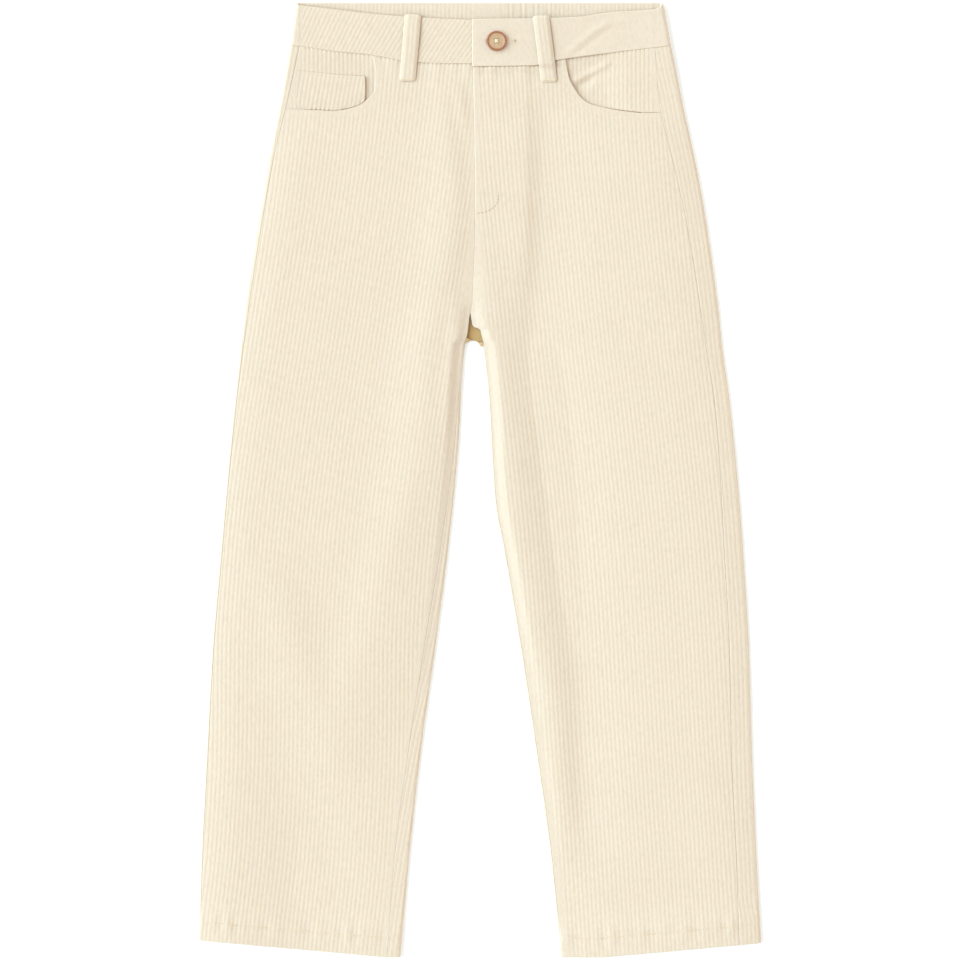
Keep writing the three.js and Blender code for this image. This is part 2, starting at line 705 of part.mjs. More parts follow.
function bandBack() {
  const rightTo = LEGS.right.outer(WAIST_LEVEL) - LEGS.right.outWrap(WAIST_LEVEL);
  const leftTo = LEGS.left.outer(WAIST_LEVEL) - LEGS.left.outWrap(WAIST_LEVEL);
  const turned = (leg, row, seamOut, depth) => {
    const length = wrapLength(row.radius, row.outer - seamOut) - GAP / 2;
    const steps = [...evenly(FOLD_STEPS, 0, Math.PI * row.radius), length];
    return steps.map((past) => place(leg, row, row.outer - row.radius + past, -1, depth));
  };
  const outer = BAND_ROWS.map((share) => {
    const right = bandSection(LEGS.right, share);
    const left = bandSection(LEGS.left, share);
    return [
      ...turned(LEGS.right, right, rightTo, 0).reverse(),
      place(LEGS.left, left, 0, -1, 0),
      ...turned(LEGS.left, left, leftTo, 0),
    ];
  });
  const ribEnd = Math.floor((BAND_OUTER_TOP - BAND_TOP) / HALF_WALE);
  const inner = BAND_ROWS.map((share) => {
    const right = bandSection(LEGS.right, share);
    const left = bandSection(LEGS.left, share);
    const ribs = [];
    for (let i = -ribEnd; i <= ribEnd; i += 1) {
      ribs.push(place(LEGS.left, left, i * HALF_WALE, -1, BAND_WALL - (i % 2 ? WALE_RISE : 0)));
    }
    return [
      ...turned(LEGS.right, right, rightTo, BAND_WALL).reverse(),
      ...ribs,
      ...turned(LEGS.left, left, leftTo, BAND_WALL),
    ];
  });
  return wall(outer, inner);
}

// Belt loops

// A strip that turns over the waistband's edge, lies on the waistband and ends on the panel below it.
function frontLoop({ side, topOut, bottomOut }) {
  const leg = LEGS[side];
  const edgeY = leg.bandTopY(topOut);
  const seamY = leg.waistY(bottomOut);
  const onBand = (out) => BAND_TOP + (side === 'left' ? tabRaise(out) : 0);
  const panel = section(leg, WAIST_LEVEL);
  const path = [
    { y: edgeY + GAP, under: onBand, lift: -LOOP_OVER_EDGE, turn: 90 },
    { y: edgeY + GAP, under: onBand, lift: 0, turn: 90 },
    { y: edgeY, under: onBand, lift: GAP, turn: 45 },
    { y: edgeY - LOOP_BEND.belowEdge, under: onBand, lift: GAP, turn: 0 },
    { y: (edgeY + seamY) / 2, under: onBand, lift: GAP + LOOP_BOW, turn: 0 },
    { y: seamY - LOOP_BEND.belowSeam, under: onBand, lift: GAP, turn: 0 },
    { y: seamY - LOOP_BEND.ontoPanel, under: panel.topZ, lift: GAP, turn: 0 },
    { y: seamY - LOOP_BELOW_BAND, under: panel.topZ, lift: GAP, turn: 0 },
  ];
  const lowY = path.at(-1).y;
  const grid = (count, depthAt) => path.map(({ y, under, lift, turn }) => {
    const angle = THREE.MathUtils.degToRad(turn);
    const centre = lerp(bottomOut, topOut, (y - lowY) / (edgeY - lowY));
    return evenly(count, -LOOP_WIDTH / 2, LOOP_WIDTH / 2).map((across, i) => {
      const up = depthAt(i);
      const out = centre + across;
      const slant = (leg.bandTopY(out) - edgeY) * clamp((y - seamY) / (edgeY - seamY), 0, 1);
      const z = under(out) + lift + up * Math.cos(angle);
      return new THREE.Vector3(leg.sign * out, y + slant + up * Math.sin(angle), z);
    });
  });
  return wall(grid(LOOP_COLUMNS, (i) => LOOP_WALL - (i % 2 ? 0 : WALE_RISE)), grid(LOOP_COLUMNS, () => 0));
}

function backLoop({ x }) {
  const ys = [BAND_BACK_TOP - 1, WAIST_LEVEL, WAIST_LEVEL - LOOP_BELOW_BAND];
  const layer = (z) => ys.map((y) => [
    new THREE.Vector3(x - LOOP_WIDTH / 2, y, z),
    new THREE.Vector3(x + LOOP_WIDTH / 2, y, z),
  ]);
  return wall(layer(0), layer(LOOP_BACK_WALL));
}

// Button

async function buttonGeometry() {
  const wasm = await Module();
  wasm.setup();
  const solid = (geometry) => {
    geometry.deleteAttribute('normal');
    geometry.deleteAttribute('uv');
    const merged = mergeVertices(geometry, 1e-4);
    const mesh = new wasm.Mesh({
      numProp: 3,
      vertProperties: new Float32Array(merged.attributes.position.array),
      triVerts: new Uint32Array(merged.index.array),
    });
    return new wasm.Manifold(mesh);
  };
  const { radius, thick, rim, dish, bevel } = BUTTON;
  const profile = [
    [0, 0], [radius - bevel, 0], [radius, bevel], [radius, thick - bevel], [radius - bevel, thick],
    [radius - rim, thick], [radius - rim - bevel, thick - dish], [0, thick - dish],
  ].map(([r, z]) => new THREE.Vector2(r, z));
  const upright = (geometry) => geometry.rotateX(Math.PI / 2);
  let button = solid(upright(new THREE.LatheGeometry(profile, BUTTON_SIDES)));
  for (let i = 0; i < 4; i += 1) {
    const angle = Math.PI / 4 + (i * Math.PI) / 2;
    const hole = upright(new THREE.CylinderGeometry(BUTTON_HOLE.radius, BUTTON_HOLE.radius, 3 * thick, 10));
    hole.translate(BUTTON_HOLE.spread * Math.cos(angle), BUTTON_HOLE.spread * Math.sin(angle), 0);
    button = button.subtract(solid(hole));
  }
  const { vertProperties, triVerts } = button.getMesh();
  const faces = [];
  for (let i = 0; i < triVerts.length; i += 3) faces.push([triVerts[i], triVerts[i + 1], triVerts[i + 2]]);
  const geometry = solidGeometry([...vertProperties], faces);
  geometry.translate(BUTTON.x, BUTTON.y, BAND_TOP + TAB_RAISE + GAP);
  return geometry;
}

Object.entries(LEGS).forEach(([side, leg]) => {
  addPiece(`front_${side}`, frontPanel(leg));
  addPiece(`back_${side}`, backPanel(leg));
  addPiece(`pocket_facing_${side}`, pocketFacing(leg));
});
addPiece('coin_pocket', coinPocket(LEGS.right));
addPiece('fly_shield', flyShield());
addPiece('waistband_front_right', bandFrontRight());
addPiece('waistband_front_left', bandFrontLeft());
addPiece('waistband_back', bandBack());
FRONT_LOOPS.forEach((loop) => addPiece(loop.name, frontLoop(loop)));
BACK_LOOPS.forEach((loop) => addPiece(loop.name, backLoop(loop)));
addPiece(
  'button',
  await buttonGeometry(),
  new THREE.MeshStandardMaterial({ color: BUTTON_COLOUR, roughness: 0.4, metalness: 0 }),
);

export default trousers;
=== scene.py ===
# Cream corduroy trousers, laid flat with the front up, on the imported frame.
# Tables and sizes are in millimetres. Right and left are the wearer's, so the right leg is at -X.
# "out" is a distance from the centre line towards the side of one leg.
# "level" is a height along the garment, and "share" a height across the waistband, from 0 to 1.

import math

import bpy
import numpy as np
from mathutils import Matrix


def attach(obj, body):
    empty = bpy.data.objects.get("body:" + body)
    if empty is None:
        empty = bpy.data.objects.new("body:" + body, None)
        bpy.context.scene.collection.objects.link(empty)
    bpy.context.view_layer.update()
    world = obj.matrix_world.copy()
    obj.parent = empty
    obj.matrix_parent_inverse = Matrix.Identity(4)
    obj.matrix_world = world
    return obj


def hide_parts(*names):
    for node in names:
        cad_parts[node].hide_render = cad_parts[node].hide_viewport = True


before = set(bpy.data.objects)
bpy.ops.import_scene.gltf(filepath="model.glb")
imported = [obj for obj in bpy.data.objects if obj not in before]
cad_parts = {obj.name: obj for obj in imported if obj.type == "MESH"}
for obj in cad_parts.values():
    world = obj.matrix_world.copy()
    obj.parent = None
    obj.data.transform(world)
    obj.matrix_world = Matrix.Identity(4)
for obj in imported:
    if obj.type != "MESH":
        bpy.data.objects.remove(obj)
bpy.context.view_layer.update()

MM = 0.001
FAR = 1e4

# Cloth
GROUND = 1.2
WALE_RISE = 0.6
WALL = GROUND + WALE_RISE
PITCH = 3.6
SAMPLES = 6  # columns of points over one wale
UNDER_SAMPLES = 4
WALE_POWER = 0.85  # how full the round of a wale is
BAND_PITCH = 3.24  # of the slanting wales on the right front waistband
RELIEF = 0.16  # how far the pile of a wale stands up
SEAM = 0.015  # half the space left between two pieces at a seam
PRESSED = 0.75  # the height of a wale that is pressed flat, against a full one
GAP = 0.3
LAYER_GAP = 0.45
EDGE_ROLL = 0.45  # radius with which the edge of a piece turns down
EDGE_COLUMNS = (0, 0.25, 0.7)
SEAM_FLAT = 0.27  # how little two panels turn down where they are joined
SIDE_SEAM_FLAT = 0.04
WANDER = 0.22  # how far a wale strays to either side
PRESS = 0.85  # how far the wales are pressed away beside a seam
PRESS_FROM = 0.4
MOUTH_PRESS = 0.5
SIDE_PRESS = 5  # the width of the pressed strip beside a side seam in a pocket
SIDE_PRESS_FROM = 0.2
PUCKER = 0.35
HEM_PUCKER_REACH = 9
WAIST_PUCKER_REACH = 14
STITCH_DENT = 0.5
STITCH_DENT_REACH = 1.2
SEAM_DOT = 0.55  # how much deeper the lines between wales are where they end at a seam
SEAM_DOT_RUN = 2.2
FLY_SINK = 0.75  # how deep the fly's straight row of stitches is drawn in
FLY_CURVE_SINK = 0.12
FLY_SINK_RUN = 14
CENTRE_ROLL = 1  # how round the fly's folded edge is
CENTRE_ROLL_EASE = 3
WAIST_TUCK = 0.35  # how deep a panel's upper edge lies under the waistband's edge
WAIST_TUCK_RUN = 2.2
SHIELD_RELIEF = 0.2

# Points over the plain sides
PLAIN_COLUMNS = 12
TURN_COLUMNS = 8
BAND_COLUMNS = 16
BAND_ROWS = 18
BAND_SMOOTH_STEP = 1.5
FACING_ROW = {"right": 2, "left": 0.8}
COIN_ROW = 2
SHIELD_ROWS = 30
LOOP_ROW = 1.6
BACK_LOOP_ROWS = 24

# Length
WAIST_LEVEL = 368.9
CROTCH_LEVEL = 142.8
FORK_LEVEL = 121
FORK_DIP = 5
FORK_DIP_FROM_X = -12
FORK_DIP_RUN = 14.5
FORK_DIP_END_X = 1.2
FORK_DIP_END_RUN = 3
FORK_DIP_REACH = 8
HEM_LEVEL = -405.5
HEM_DEPTH = 16.5
HEM_SEAM_LEVEL = HEM_LEVEL + HEM_DEPTH
HEM_STEP = 1.2  # the run over which the wall thickens to the turned-up hem
HEM_SLOPE = 0.09
WAIST_BEND = 90
HEM_BEND = 150
EDGE_FADE = 8
INNER_FADE = 10
# How far a leg swells up between its edges, and how far in from its outer and inner edge it is full.
CROWNS = {"right": (1.9, 28, 120), "left": (2.4, 48, 80)}
CROWN_FROM_LEVEL = 330
CROWN_FADE = 60
LOWEST_TOP = 4
FOLD_END = 24
FACING_FOLD_END = 5
BAND_FOLD_END = 9
LEVEL_TRIES = 8

# Waistband
BAND_WALL = 2.6
BAND_FLOOR = 1.7
BAND_TOP = 8.2
BAND_BACK_TOP = 405.5
BAND_HEIGHT = BAND_BACK_TOP - WAIST_LEVEL
BAND_MARGIN = 1
BAND_SIDE_FADE = 4
BAND_SWAY = 0.4
BAND_SWAY_RUN = 31
BAND_WANDER = 40
BAND_OUTER_TOP = 156.2
RIGHT_BAND_END_X = 21.5
TAB_END_X = -6.4
TAB_RAISE = BAND_WALL + GAP
TAB_RAISED_TO = 20
TAB_FILL = 1.6  # how far the front swells up towards the tab's lower edge
TAB_FILL_RUN = 9
TAB_LEVEL_FROM = 150
TAB_ROUND = 0.4  # how slowly the tab's end turns down
LEAN_AT_CENTRE = 38
LEAN_AT_SIDE = 21
BAND_RIB_STRENGTH = 0.15  # the left waistband's wales run along it and hardly show
CENTRE_PATCH_X = 6.8  # where the back waistband's lining is joined
CENTRE_PATCH_HALF = 11.5
CENTRE_PATCH_EDGE = 2
GATHER = 0.12  # the small gathers inside the back waistband
GATHER_X = 38
GATHER_REACH = 24
GATHER_PITCH = 5.3
CENTRE_BACK_X = -3.8

# Fly
FLY_END_LEVEL = 225
FLY_END_FADE = 8
FLY_STEP_X = 46
FLY_STEP_RUN = 7
FLY_RAISE = 0.5
FLY_FADE_LEVEL = 150  # the step over the fly dies away down to here
FLY_FADE_RUN = 60
SHIELD_END_X = 38
SHIELD_INNER_X = -20.8

# Pockets
FACING_LAP = 12
# A facing rises to the side seam: how far in from it the rise starts and ends.
FACING_RISE = {"right": (60, 0), "left": (52, 22)}
FACING_TOP_RUN = 14
FACING_TOP_SHARE = 0.3
COIN_TOP_Y = 345.1
COIN_INNER_OUT = 97
COIN_OUTER_OUT = 156
COIN_LEAN = 9
COIN_GAP = 0.15
COIN_ROLL = 0.9
COIN_FIRST_ROW = 1.5
COIN_LAST_ROW = 0.2
MOUTH_BAND = 8  # the pressed strip beside a pocket mouth
MOUTH_BAND_FADE = 3
MOUTH_SPACING = 0.5
POCKET_PAINTED_SHADE = 0.04  # painted shade: the pocket pieces are coloured a little darker, as they lie in shade
POCKET_RELIEF = 0.18
MOUTH_RISE_RUN = {"right": 1.5, "left": 0.8}
MOUTH_FADE_FROM = {"right": FAR, "left": 106}  # from here out a pocket mouth hardly shows
MOUTH_FADE_RUN = 12
MOUTH_FLAT = 0.3
PAINTED_SHADE_SPAN = 0.25  # the share of the colour ramp kept for painted shade, which pile values below 0 reach on shaded insides
# Painted shade: the back's inside round this place in the crotch recess, and its outside round the fork,
# are coloured a darker golden brown for the shade that falls there.
RECESS_X = -5
RECESS_LEVEL = 125
RECESS_SHADE_REACH = 17
FORK_SHADE_REACH = 12
FORK_EDGE = 0.2
PAINTED_RECESS_SHADE_PILE = -PAINTED_SHADE_SPAN / (1 - PAINTED_SHADE_SPAN)
MOUTH_LOWEST = 295
COIN_SINK = 0.6  # how far the coin pocket dips under the front at the pocket mouth
COIN_SINK_RUN = 6

# Belt loops
FRONT_LOOPS = {"right": (56.6, 61.4), "left": (52.2, 59.1)}  # the outs of a loop's top and bottom
BACK_LOOPS = {"right": -90, "middle": CENTRE_BACK_X, "left": 90}
LOOP_STEP_BELOW = 6
LOOP_STEP_RUN = 5
LOOP_WIDTH = 14
LOOP_WALL = 1.9
LOOP_BACK_WALL = 1.4
LOOP_BELOW_BAND = 17
LOOP_OVER_EDGE = 1.3
LOOP_BOW = 0.5
LOOP_EDGE = 3.6  # how wide the sides of a loop are that turn down
LOOP_DROP = 1.15
LOOP_CORNER = 2.8  # radius of a loop's lower corners
LOOP_STRENGTH = 0.8

# Button
BUTTON_X = 14.4
BUTTON_Y = 372.7
BUTTON_RADIUS = 8.5
BUTTON_THICK = 2.8
HOLE_RADIUS = 0.8
HOLE_SPREAD = 1.9
HOLE_DEPTH = 1.6
BUTTON_RIM = 1.5
BUTTON_DISH = 0.7
BUTTON_BASE = BAND_TOP + TAB_RAISE + GAP
BUTTON_SEGMENTS = 96
BUTTON_RIM_INSIDE = ((-0.5, 0.08), (-0.2, 0.35), (0.1, 0.6))
BUTTON_RIM_OUTSIDE = ((0.7, 0), (0.3, 0.18), (0.07, 0.5), (0, 0.9))

# Thread
THREAD_RADIUS = 0.32
STITCH_LENGTH = 2.4
STITCH_PITCH = 3.1
STITCH_STEP = 3.0
STITCH_SIDES = 6
TACK_PITCH = 0.5
TACK_LENGTH = 1.8
TACK_HALF = 5
TACK_INSET = 2
TACK_SINK = 0.45
STITCH_SINK = 0.25
FLY_STITCH_X = 16.2
FLY_STITCH_END_X = -2.5
FLY_CURVE_LEVEL = 240
FLY_CURVE_DROP = 13.5
MOUTH_STITCH = 6.5
COIN_STITCH = 4.5
HOLE_HALF = 11.5
HOLE_BORDER = 1.1
HOLE_CENTRE_X = 18
HOLE_SINK = 0.2
HOLE_STITCH = 1.6

# Studio
PHOTO_PIXELS = 960
PIXEL = 0.85  # the size of a pixel of the photo on the cloth
PHOTO_CENTRE_X = 0.4
CAMERA_HEIGHT = 8000
FLOOR_HALF = 3
FLOOR_Z = -0.0002
FLOOR_GLOW = 0.24  # of a light table, which clears the shadows from the floor
GLOW_COLOUR = (0.5, 0.82, 1, 1)
KEY_ENERGY = 4
KEY_COLOUR = (0.76, 0.93, 1)
KEY_ANGLE = 60
KEY_TILT = 56
KEY_TURN = 168
SIDE_ENERGY = 0.7
SIDE_COLOUR = (1, 0.93, 0.86)
SIDE_TILT = 78
FILL = 0.84
FILL_COLOUR = (1, 0.86, 0.74)


def table(columns, *rows):
    """A short table of numbers, as one array for each named column."""
    return dict(zip(columns, np.array(rows, float).T))


def edge(*rows):
    """The course of an edge seen from above."""
    return table(("out", "y"), *rows)


def ridge(*rows):
    """A soft ridge, or a trough where rise is negative."""
    return table(("level", "out", "inReach", "outReach", "rise"), *rows)


# outWrap and inWrap say how far the back comes round the folds, and run how far the wales lean.
SECTION_COLUMNS = ("level", "outer", "outWrap", "inner", "inWrap", "run")
RIGHT_SECTIONS = table(
    SECTION_COLUMNS,
    (368.9, 161.5, 8.5, -20, 4, 0), (323, 169.6, 6.8, -20, 4, 4.2), (280.5, 178.1, 5, -20, 4, 9),
    (225.3, 187.4, 4, -20, 4, 16.7), (142.8, 199.8, 3.4, 3.9, 4, 29.7),
    (121, 202.4, 3.2, 7.1, 4, 33.2), (114.8, 203.2, 3, 12.3, 1.5, 34.2),
    (25.5, 212.9, 2.5, 18.3, 3.5, 48), (-59.5, 220.6, 2.5, 26.8, 6.5, 58.2),
    (-144.5, 227.8, 2.2, 37.8, 9.5, 63.3), (-229.5, 232.5, 2.2, 49.7, 10.5, 64.2),
    (-314.5, 236.7, 2, 59.1, 12.5, 68.4), (-405.5, 239.3, 2, 67.2, 11.5, 77.5),
)
LEFT_SECTIONS = table(
    SECTION_COLUMNS,
    (368.9, 162.8, 14, -20, 4, 0), (311, 174.5, 20, -20, 4, 3), (263, 184.9, 18.7, -20, 4, 6.4),
    (225.3, 191.7, 17, -20, 4, 10), (142.8, 203.3, 15, -11.9, 4, 18.3),
    (136, 204, 14.6, -10.8, 4, 19), (130.5, 204.6, 14.3, -9.4, 4, 19.7),
    (128, 204.8, 14.2, -3.6, 4, 20), (121, 205.5, 13.9, -1.8, 4, 20.6),
    (114.8, 206.1, 13.8, 2.2, 1.5, 21.2), (68, 212.5, 13, 7.2, 1.8, 26.8),
    (-17, 220.9, 15, 12.3, 2, 36.2), (-59.5, 224, 16, 20, 2, 40.2),
    (-144.5, 229.1, 16.6, 34.4, 2, 46.2), (-229.5, 231.6, 17.5, 47.2, 2, 51.3),
    (-314.5, 235, 17.2, 59.1, 2, 57.2), (-405.5, 239.3, 18.5, 68.4, 2, 62.6),
)
HEIGHTS = table(
    ("level", "top", "floor"),
    (368.9, 7.9, 1.7), (349, 7.9, 1.7), (320, 6.8, 0), (300, 6.4, 0), (225, 5.6, 0), (142.8, 5, 0),
    (60, 4.5, 0), (-365, 4.4, 0), (-388, 6.4, 0), (-405.5, 6.4, 0),
)

# Each reaches inReach towards the centre line and outReach towards the side.
RIGHT_RIDGES = (
    ridge(
        (360, 32, 10, 14, 0), (335, 31, 8, 14, 0.8), (289, 27, 10, 16, 1.2), (238, 24, 14, 22, 2),
        (170, 31, 20, 22, 2.5), (102, 42, 34, 26, 3.2), (60, 44, 34, 28, 3.3),
        (34, 46, 36, 30, 3.1), (-34, 64, 46, 26, 2.6), (-102, 84, 58, 26, 2.1),
        (-144, 94, 50, 26, 1.9), (-230, 122, 40, 28, 1.4), (-290, 132, 26, 28, 0),
    ),
    ridge(
        (165, 21, 6, 7, 0), (110, 20, 7, 8, 1.1), (66, 24, 8, 8, 1), (30, 28, 8, 8, 0),
    ),
    ridge(
        (-60, 176, 16, 22, 0), (-102, 166, 18, 24, 1.3), (-170, 150, 20, 26, 1.3),
        (-240, 132, 20, 26, 0),
    ),
    ridge(
        (-180, 160, 30, 36, 0), (-300, 150, 44, 34, -2.2), (-405, 146, 44, 36, -2.5),
    ),
    ridge(
        (355, 20, 5, 8, 0), (330, 16, 5, 8, 0.9), (285, 9, 5, 8, 0),
    ),
)
LEFT_RIDGES = (
    ridge(
        (215, 3, 10, 15, 0), (170, 5, 9, 16, 1.1), (136, 6, 9, 16, 1.9), (102, 10, 14, 19, 2.3),
        (34, 18, 16, 21, 2.3), (-34, 27, 16, 21, 2.1), (-102, 39, 14, 19, 1.7),
        (-187, 61, 12, 14, 1.3), (-272, 70, 11, 14, 1), (-340, 80, 10, 14, 0),
    ),
    ridge(
        (345, 56, 10, 34, 0), (300, 55, 10, 34, -1.4), (200, 54, 12, 36, -1.9),
        (136, 50, 18, 38, -2.8), (102, 53, 20, 40, -3.4), (34, 61, 21, 40, -3.4),
        (-34, 69, 21, 38, -3.2), (-102, 77, 18, 38, -2.8), (-187, 88, 15, 36, -2.1),
        (-272, 88, 14, 28, -1.5), (-340, 88, 14, 26, 0),
    ),
)

RIGHT_WAIST = edge(
    (-20, 353.6), (8, 353.6), (51.4, 354.5), (70.1, 357), (93.1, 361.3), (120.3, 363.8),
    (152.6, 368.4), (161.5, 368.9),
)
LEFT_WAIST = edge(
    (-20, 351), (45.5, 351.9), (64.2, 356.2), (113.5, 363), (162.8, 368.9),
)
RIGHT_BAND_TOP = edge(
    (-22, 390.6), (8, 391), (71.8, 394.4), (156.8, 403.8),
)
LEFT_BAND_TOP = edge(
    (-8, 391.4), (45.5, 392), (78.6, 393), (115, 397.6), (149, 400), (156.8, 404.6),
)
RIGHT_MOUTH = edge(
    (91.4, 360.4), (88.8, 348), (89.5, 331.5), (99.3, 320.1), (110.9, 315.5), (124, 313.3),
)
LEFT_MOUTH = edge(
    (73.3, 356.2), (75.8, 342.9), (82.4, 329.8), (91.4, 320.8), (112.3, 314.9), (138, 311.5),
)
# How wide the strip is in which the wales are pressed flat beside a front's inner edge.
RIGHT_PRESSED = table(
    ("level", "width"),
    (368.9, 2), (225, 3), (200, 6), (150, 11), (120, 13), (60, 8), (0, 5), (-405.5, 4),
)
LEFT_PRESSED = table(
    ("level", "width"),
    (368.9, 4.5), (225, 4.5), (200, 7), (142.8, 15), (120, 13), (60, 9), (-405.5, 7),
)
BAND_FOLDS = table(
    ("out", "level", "toOut", "toLevel", "reach", "rise"),
    (81, 10, 102, 24, 3.2, 0.55), (102, 24, 122, 27, 3.5, 0.45), (86, 6, 108, 20, 3, -0.35),
)
FACING_FOLDS = table(
    ("out", "level", "toOut", "toLevel", "reach", "rise"),
    (84, 340, 106, 352, 3, 1.1), (80, 333, 93, 340, 4, -1.6),
)
CENTRE_FRONT = table(
    ("level", "x"),
    (368.9, -5.5), (225, -3.8), (150, -6.4), (142.8, -7.9),
)

# How close the rows of points lie, from one level down to the next.
ROW_STEPS = table(
    ("from", "to", "step"),
    (WAIST_LEVEL, 330, 2.5), (330, 308, 1), (308, 150, 4), (150, 110, 1.25), (110, -380, 5),
    (-380, HEM_LEVEL, 2),
)


def spread(count):
    """Even shares from 0 to 1, as one row."""
    return np.linspace(0, 1, count)[None, :]


def clamp(value, low, high):
    return np.minimum(np.maximum(value, low), high)


def lerp(start, end, share):
    return start + (end - start) * share


def smooth(value):
    t = clamp(value, 0, 1)
    return t * t * (3 - 2 * t)


def curve(rows, key, by):
    """A smooth curve through one column of a table, which never overshoots its rows."""
    order = np.argsort(rows[by])
    places = rows[by][order]
    values = rows[key][order]
    secant = np.diff(values) / np.diff(places)
    slope = np.concatenate([secant[:1], np.zeros(len(secant) - 1), secant[-1:]])
    before = secant[:-1]
    after = secant[1:]
    same_way = before * after > 0
    slope[1:-1][same_way] = (2 * before * after)[same_way] / (before + after)[same_way]

    def read(at):
        at = clamp(at, places[0], places[-1])
        i = clamp(np.searchsorted(places, at, side="right") - 1, 0, len(places) - 2)
        span = places[i + 1] - places[i]
        t = (at - places[i]) / span
        near = (1 + 2 * t) * (1 - t) ** 2 * values[i] + t * (1 - t) ** 2 * span * slope[i]
        far = t * t * (3 - 2 * t) * values[i + 1] + t * t * (t - 1) * span * slope[i + 1]
        return near + far

    return read


class Leg:
    """One leg's curves."""

    def __init__(self, sign, hem_rise_from, sections, folds, pressed, waist, band_top, mouth):
        self.sign = sign
        self.hem_rise_from = hem_rise_from
        self.crown = CROWNS["right" if sign < 0 else "left"]
        self.folds = folds
        self.mouth = mouth
        self.pressed = curve(pressed, "width", "level")
        self.outer = curve(sections, "outer", "level")
        self.inner = curve(sections, "inner", "level")
        self.out_wrap = curve(sections, "outWrap", "level")
        self.in_wrap = curve(sections, "inWrap", "level")
        self.run = curve(sections, "run", "level")
        self.waist_y = curve(waist, "y", "out")
        self.band_top_y = curve(band_top, "y", "out")


LEGS = {
    "right": Leg(
        -1, 80, RIGHT_SECTIONS, RIGHT_RIDGES, RIGHT_PRESSED, RIGHT_WAIST, RIGHT_BAND_TOP, RIGHT_MOUTH
    ),
    "left": Leg(
        1, 105, LEFT_SECTIONS, LEFT_RIDGES, LEFT_PRESSED, LEFT_WAIST, LEFT_BAND_TOP, LEFT_MOUTH
    ),
}
top_at = curve(HEIGHTS, "top", "level")
floor_at = curve(HEIGHTS, "floor", "level")
centre_front_x = curve(CENTRE_FRONT, "x", "level")


def ridge_rise(ridges, out, level):
    """The height that the soft ridges and troughs of a leg add at a place."""
    total = 0
    for ridge in ridges:
        middle, in_reach, out_reach, rise = [
            curve(ridge, key, "level")(level) for key in ("out", "inReach", "outReach", "rise")
        ]
        reach = np.where(out > middle, out_reach, in_reach)
        total = total + rise * np.exp(-(((out - middle) / reach) ** 2))
    return total


def crowned(distance, run):
    """From 0 at an edge to 1 where the swell of a leg is full."""
    return 1 - (1 - clamp(distance / run, 0, 1)) ** 2


def soft_rise(folds, out, level, end=FOLD_END):
    """The height that soft straight folds add at a place."""
    total = 0
    for i in range(len(folds["out"])):
        along_out = folds["toOut"][i] - folds["out"][i]
        along_level = folds["toLevel"][i] - folds["level"][i]
        length = math.hypot(along_out, along_level)
        from_out = out - folds["out"][i]
        from_level = level - folds["level"][i]
        along = (from_out * along_out + from_level * along_level) / length
        across = (from_out * along_level - from_level * along_out) / length
        past = np.maximum(np.maximum(-along, along - length), 0)
        fading = (across / folds["reach"][i]) ** 2 + (past / end) ** 2
        total = total + folds["rise"][i] * np.exp(-fading)
    return total


def fly_rise(x, level):
    """The extra height over the fly shield, which stops in a step at the shield's outer edge."""
    across_fly = smooth((FLY_STEP_X - x) / FLY_STEP_RUN)
    down_fly = smooth((level - FLY_FADE_LEVEL) / FLY_FADE_RUN)
    return np.where(x < centre_front_x(level), 0, FLY_RAISE * across_fly * down_fly)


class PanelRows:
    """Rows of one leg's cloth. Each value is a column with one number for each level."""

    def __init__(self, leg, levels, whole=False):
        self.leg = leg
        self.level = np.asarray(levels, float)[:, None]
        self.floor = floor_at(self.level)
        self.flat_top = top_at(self.level)
        self.radius = (self.flat_top - self.floor) / 2
        self.outer = leg.outer(self.level)
        parted_level = FORK_LEVEL if whole else CROTCH_LEVEL
        self.inner = np.where(self.level < parted_level, leg.inner(self.level), -FAR)

    def top(self, out):
        past_inner = np.maximum(out - self.leg.inner(self.level) - self.radius, 0)
        to_inner = np.hypot(past_inner, np.maximum(self.level - CROTCH_LEVEL, 0))
        to_outer = self.outer - self.radius - out
        ridges = ridge_rise(self.leg.folds, out, self.level)
        ridges = ridges * smooth(to_outer / EDGE_FADE) * smooth(to_inner / INNER_FADE)
        crown, outer_run, inner_run = self.leg.crown
        swell = crown * crowned(to_outer, outer_run) * crowned(to_inner, inner_run)
        swell = swell * smooth((CROWN_FROM_LEVEL - self.level) / CROWN_FADE)
        lifted = self.flat_top + ridges + swell
        lowest = np.minimum(self.flat_top, LOWEST_TOP)
        return np.maximum(lifted, lowest) + fly_rise(self.leg.sign * out, self.level)

    def y(self, out, upper):
        near_waist = clamp(1 - (WAIST_LEVEL - self.level) / WAIST_BEND, 0, 1)
        near_hem = smooth(1 - (self.level - HEM_LEVEL) / HEM_BEND)
        dip = (self.leg.waist_y(out) - WAIST_LEVEL) * near_waist * upper
        rise = HEM_SLOPE * np.maximum(0, out - self.leg.hem_rise_from) * near_hem
        return self.level + dip + rise


class BandRows:
    """Rows of the waistband over one leg."""

    def __init__(self, leg, shares):
        self.leg = leg
        self.share = np.asarray(shares, float)[:, None]
        self.floor = BAND_FLOOR
        self.radius = (BAND_TOP - BAND_FLOOR) / 2
        self.outer = lerp(leg.outer(WAIST_LEVEL), BAND_OUTER_TOP, self.share)
        self.inner = -FAR

    def top(self, out):
        return BAND_TOP + 0 * out

    def y(self, out, upper):
        front = lerp(self.leg.waist_y(out) + SEAM, self.leg.band_top_y(out), self.share)
        back = lerp(WAIST_LEVEL + SEAM, BAND_BACK_TOP, self.share)
        return lerp(back, front, upper)


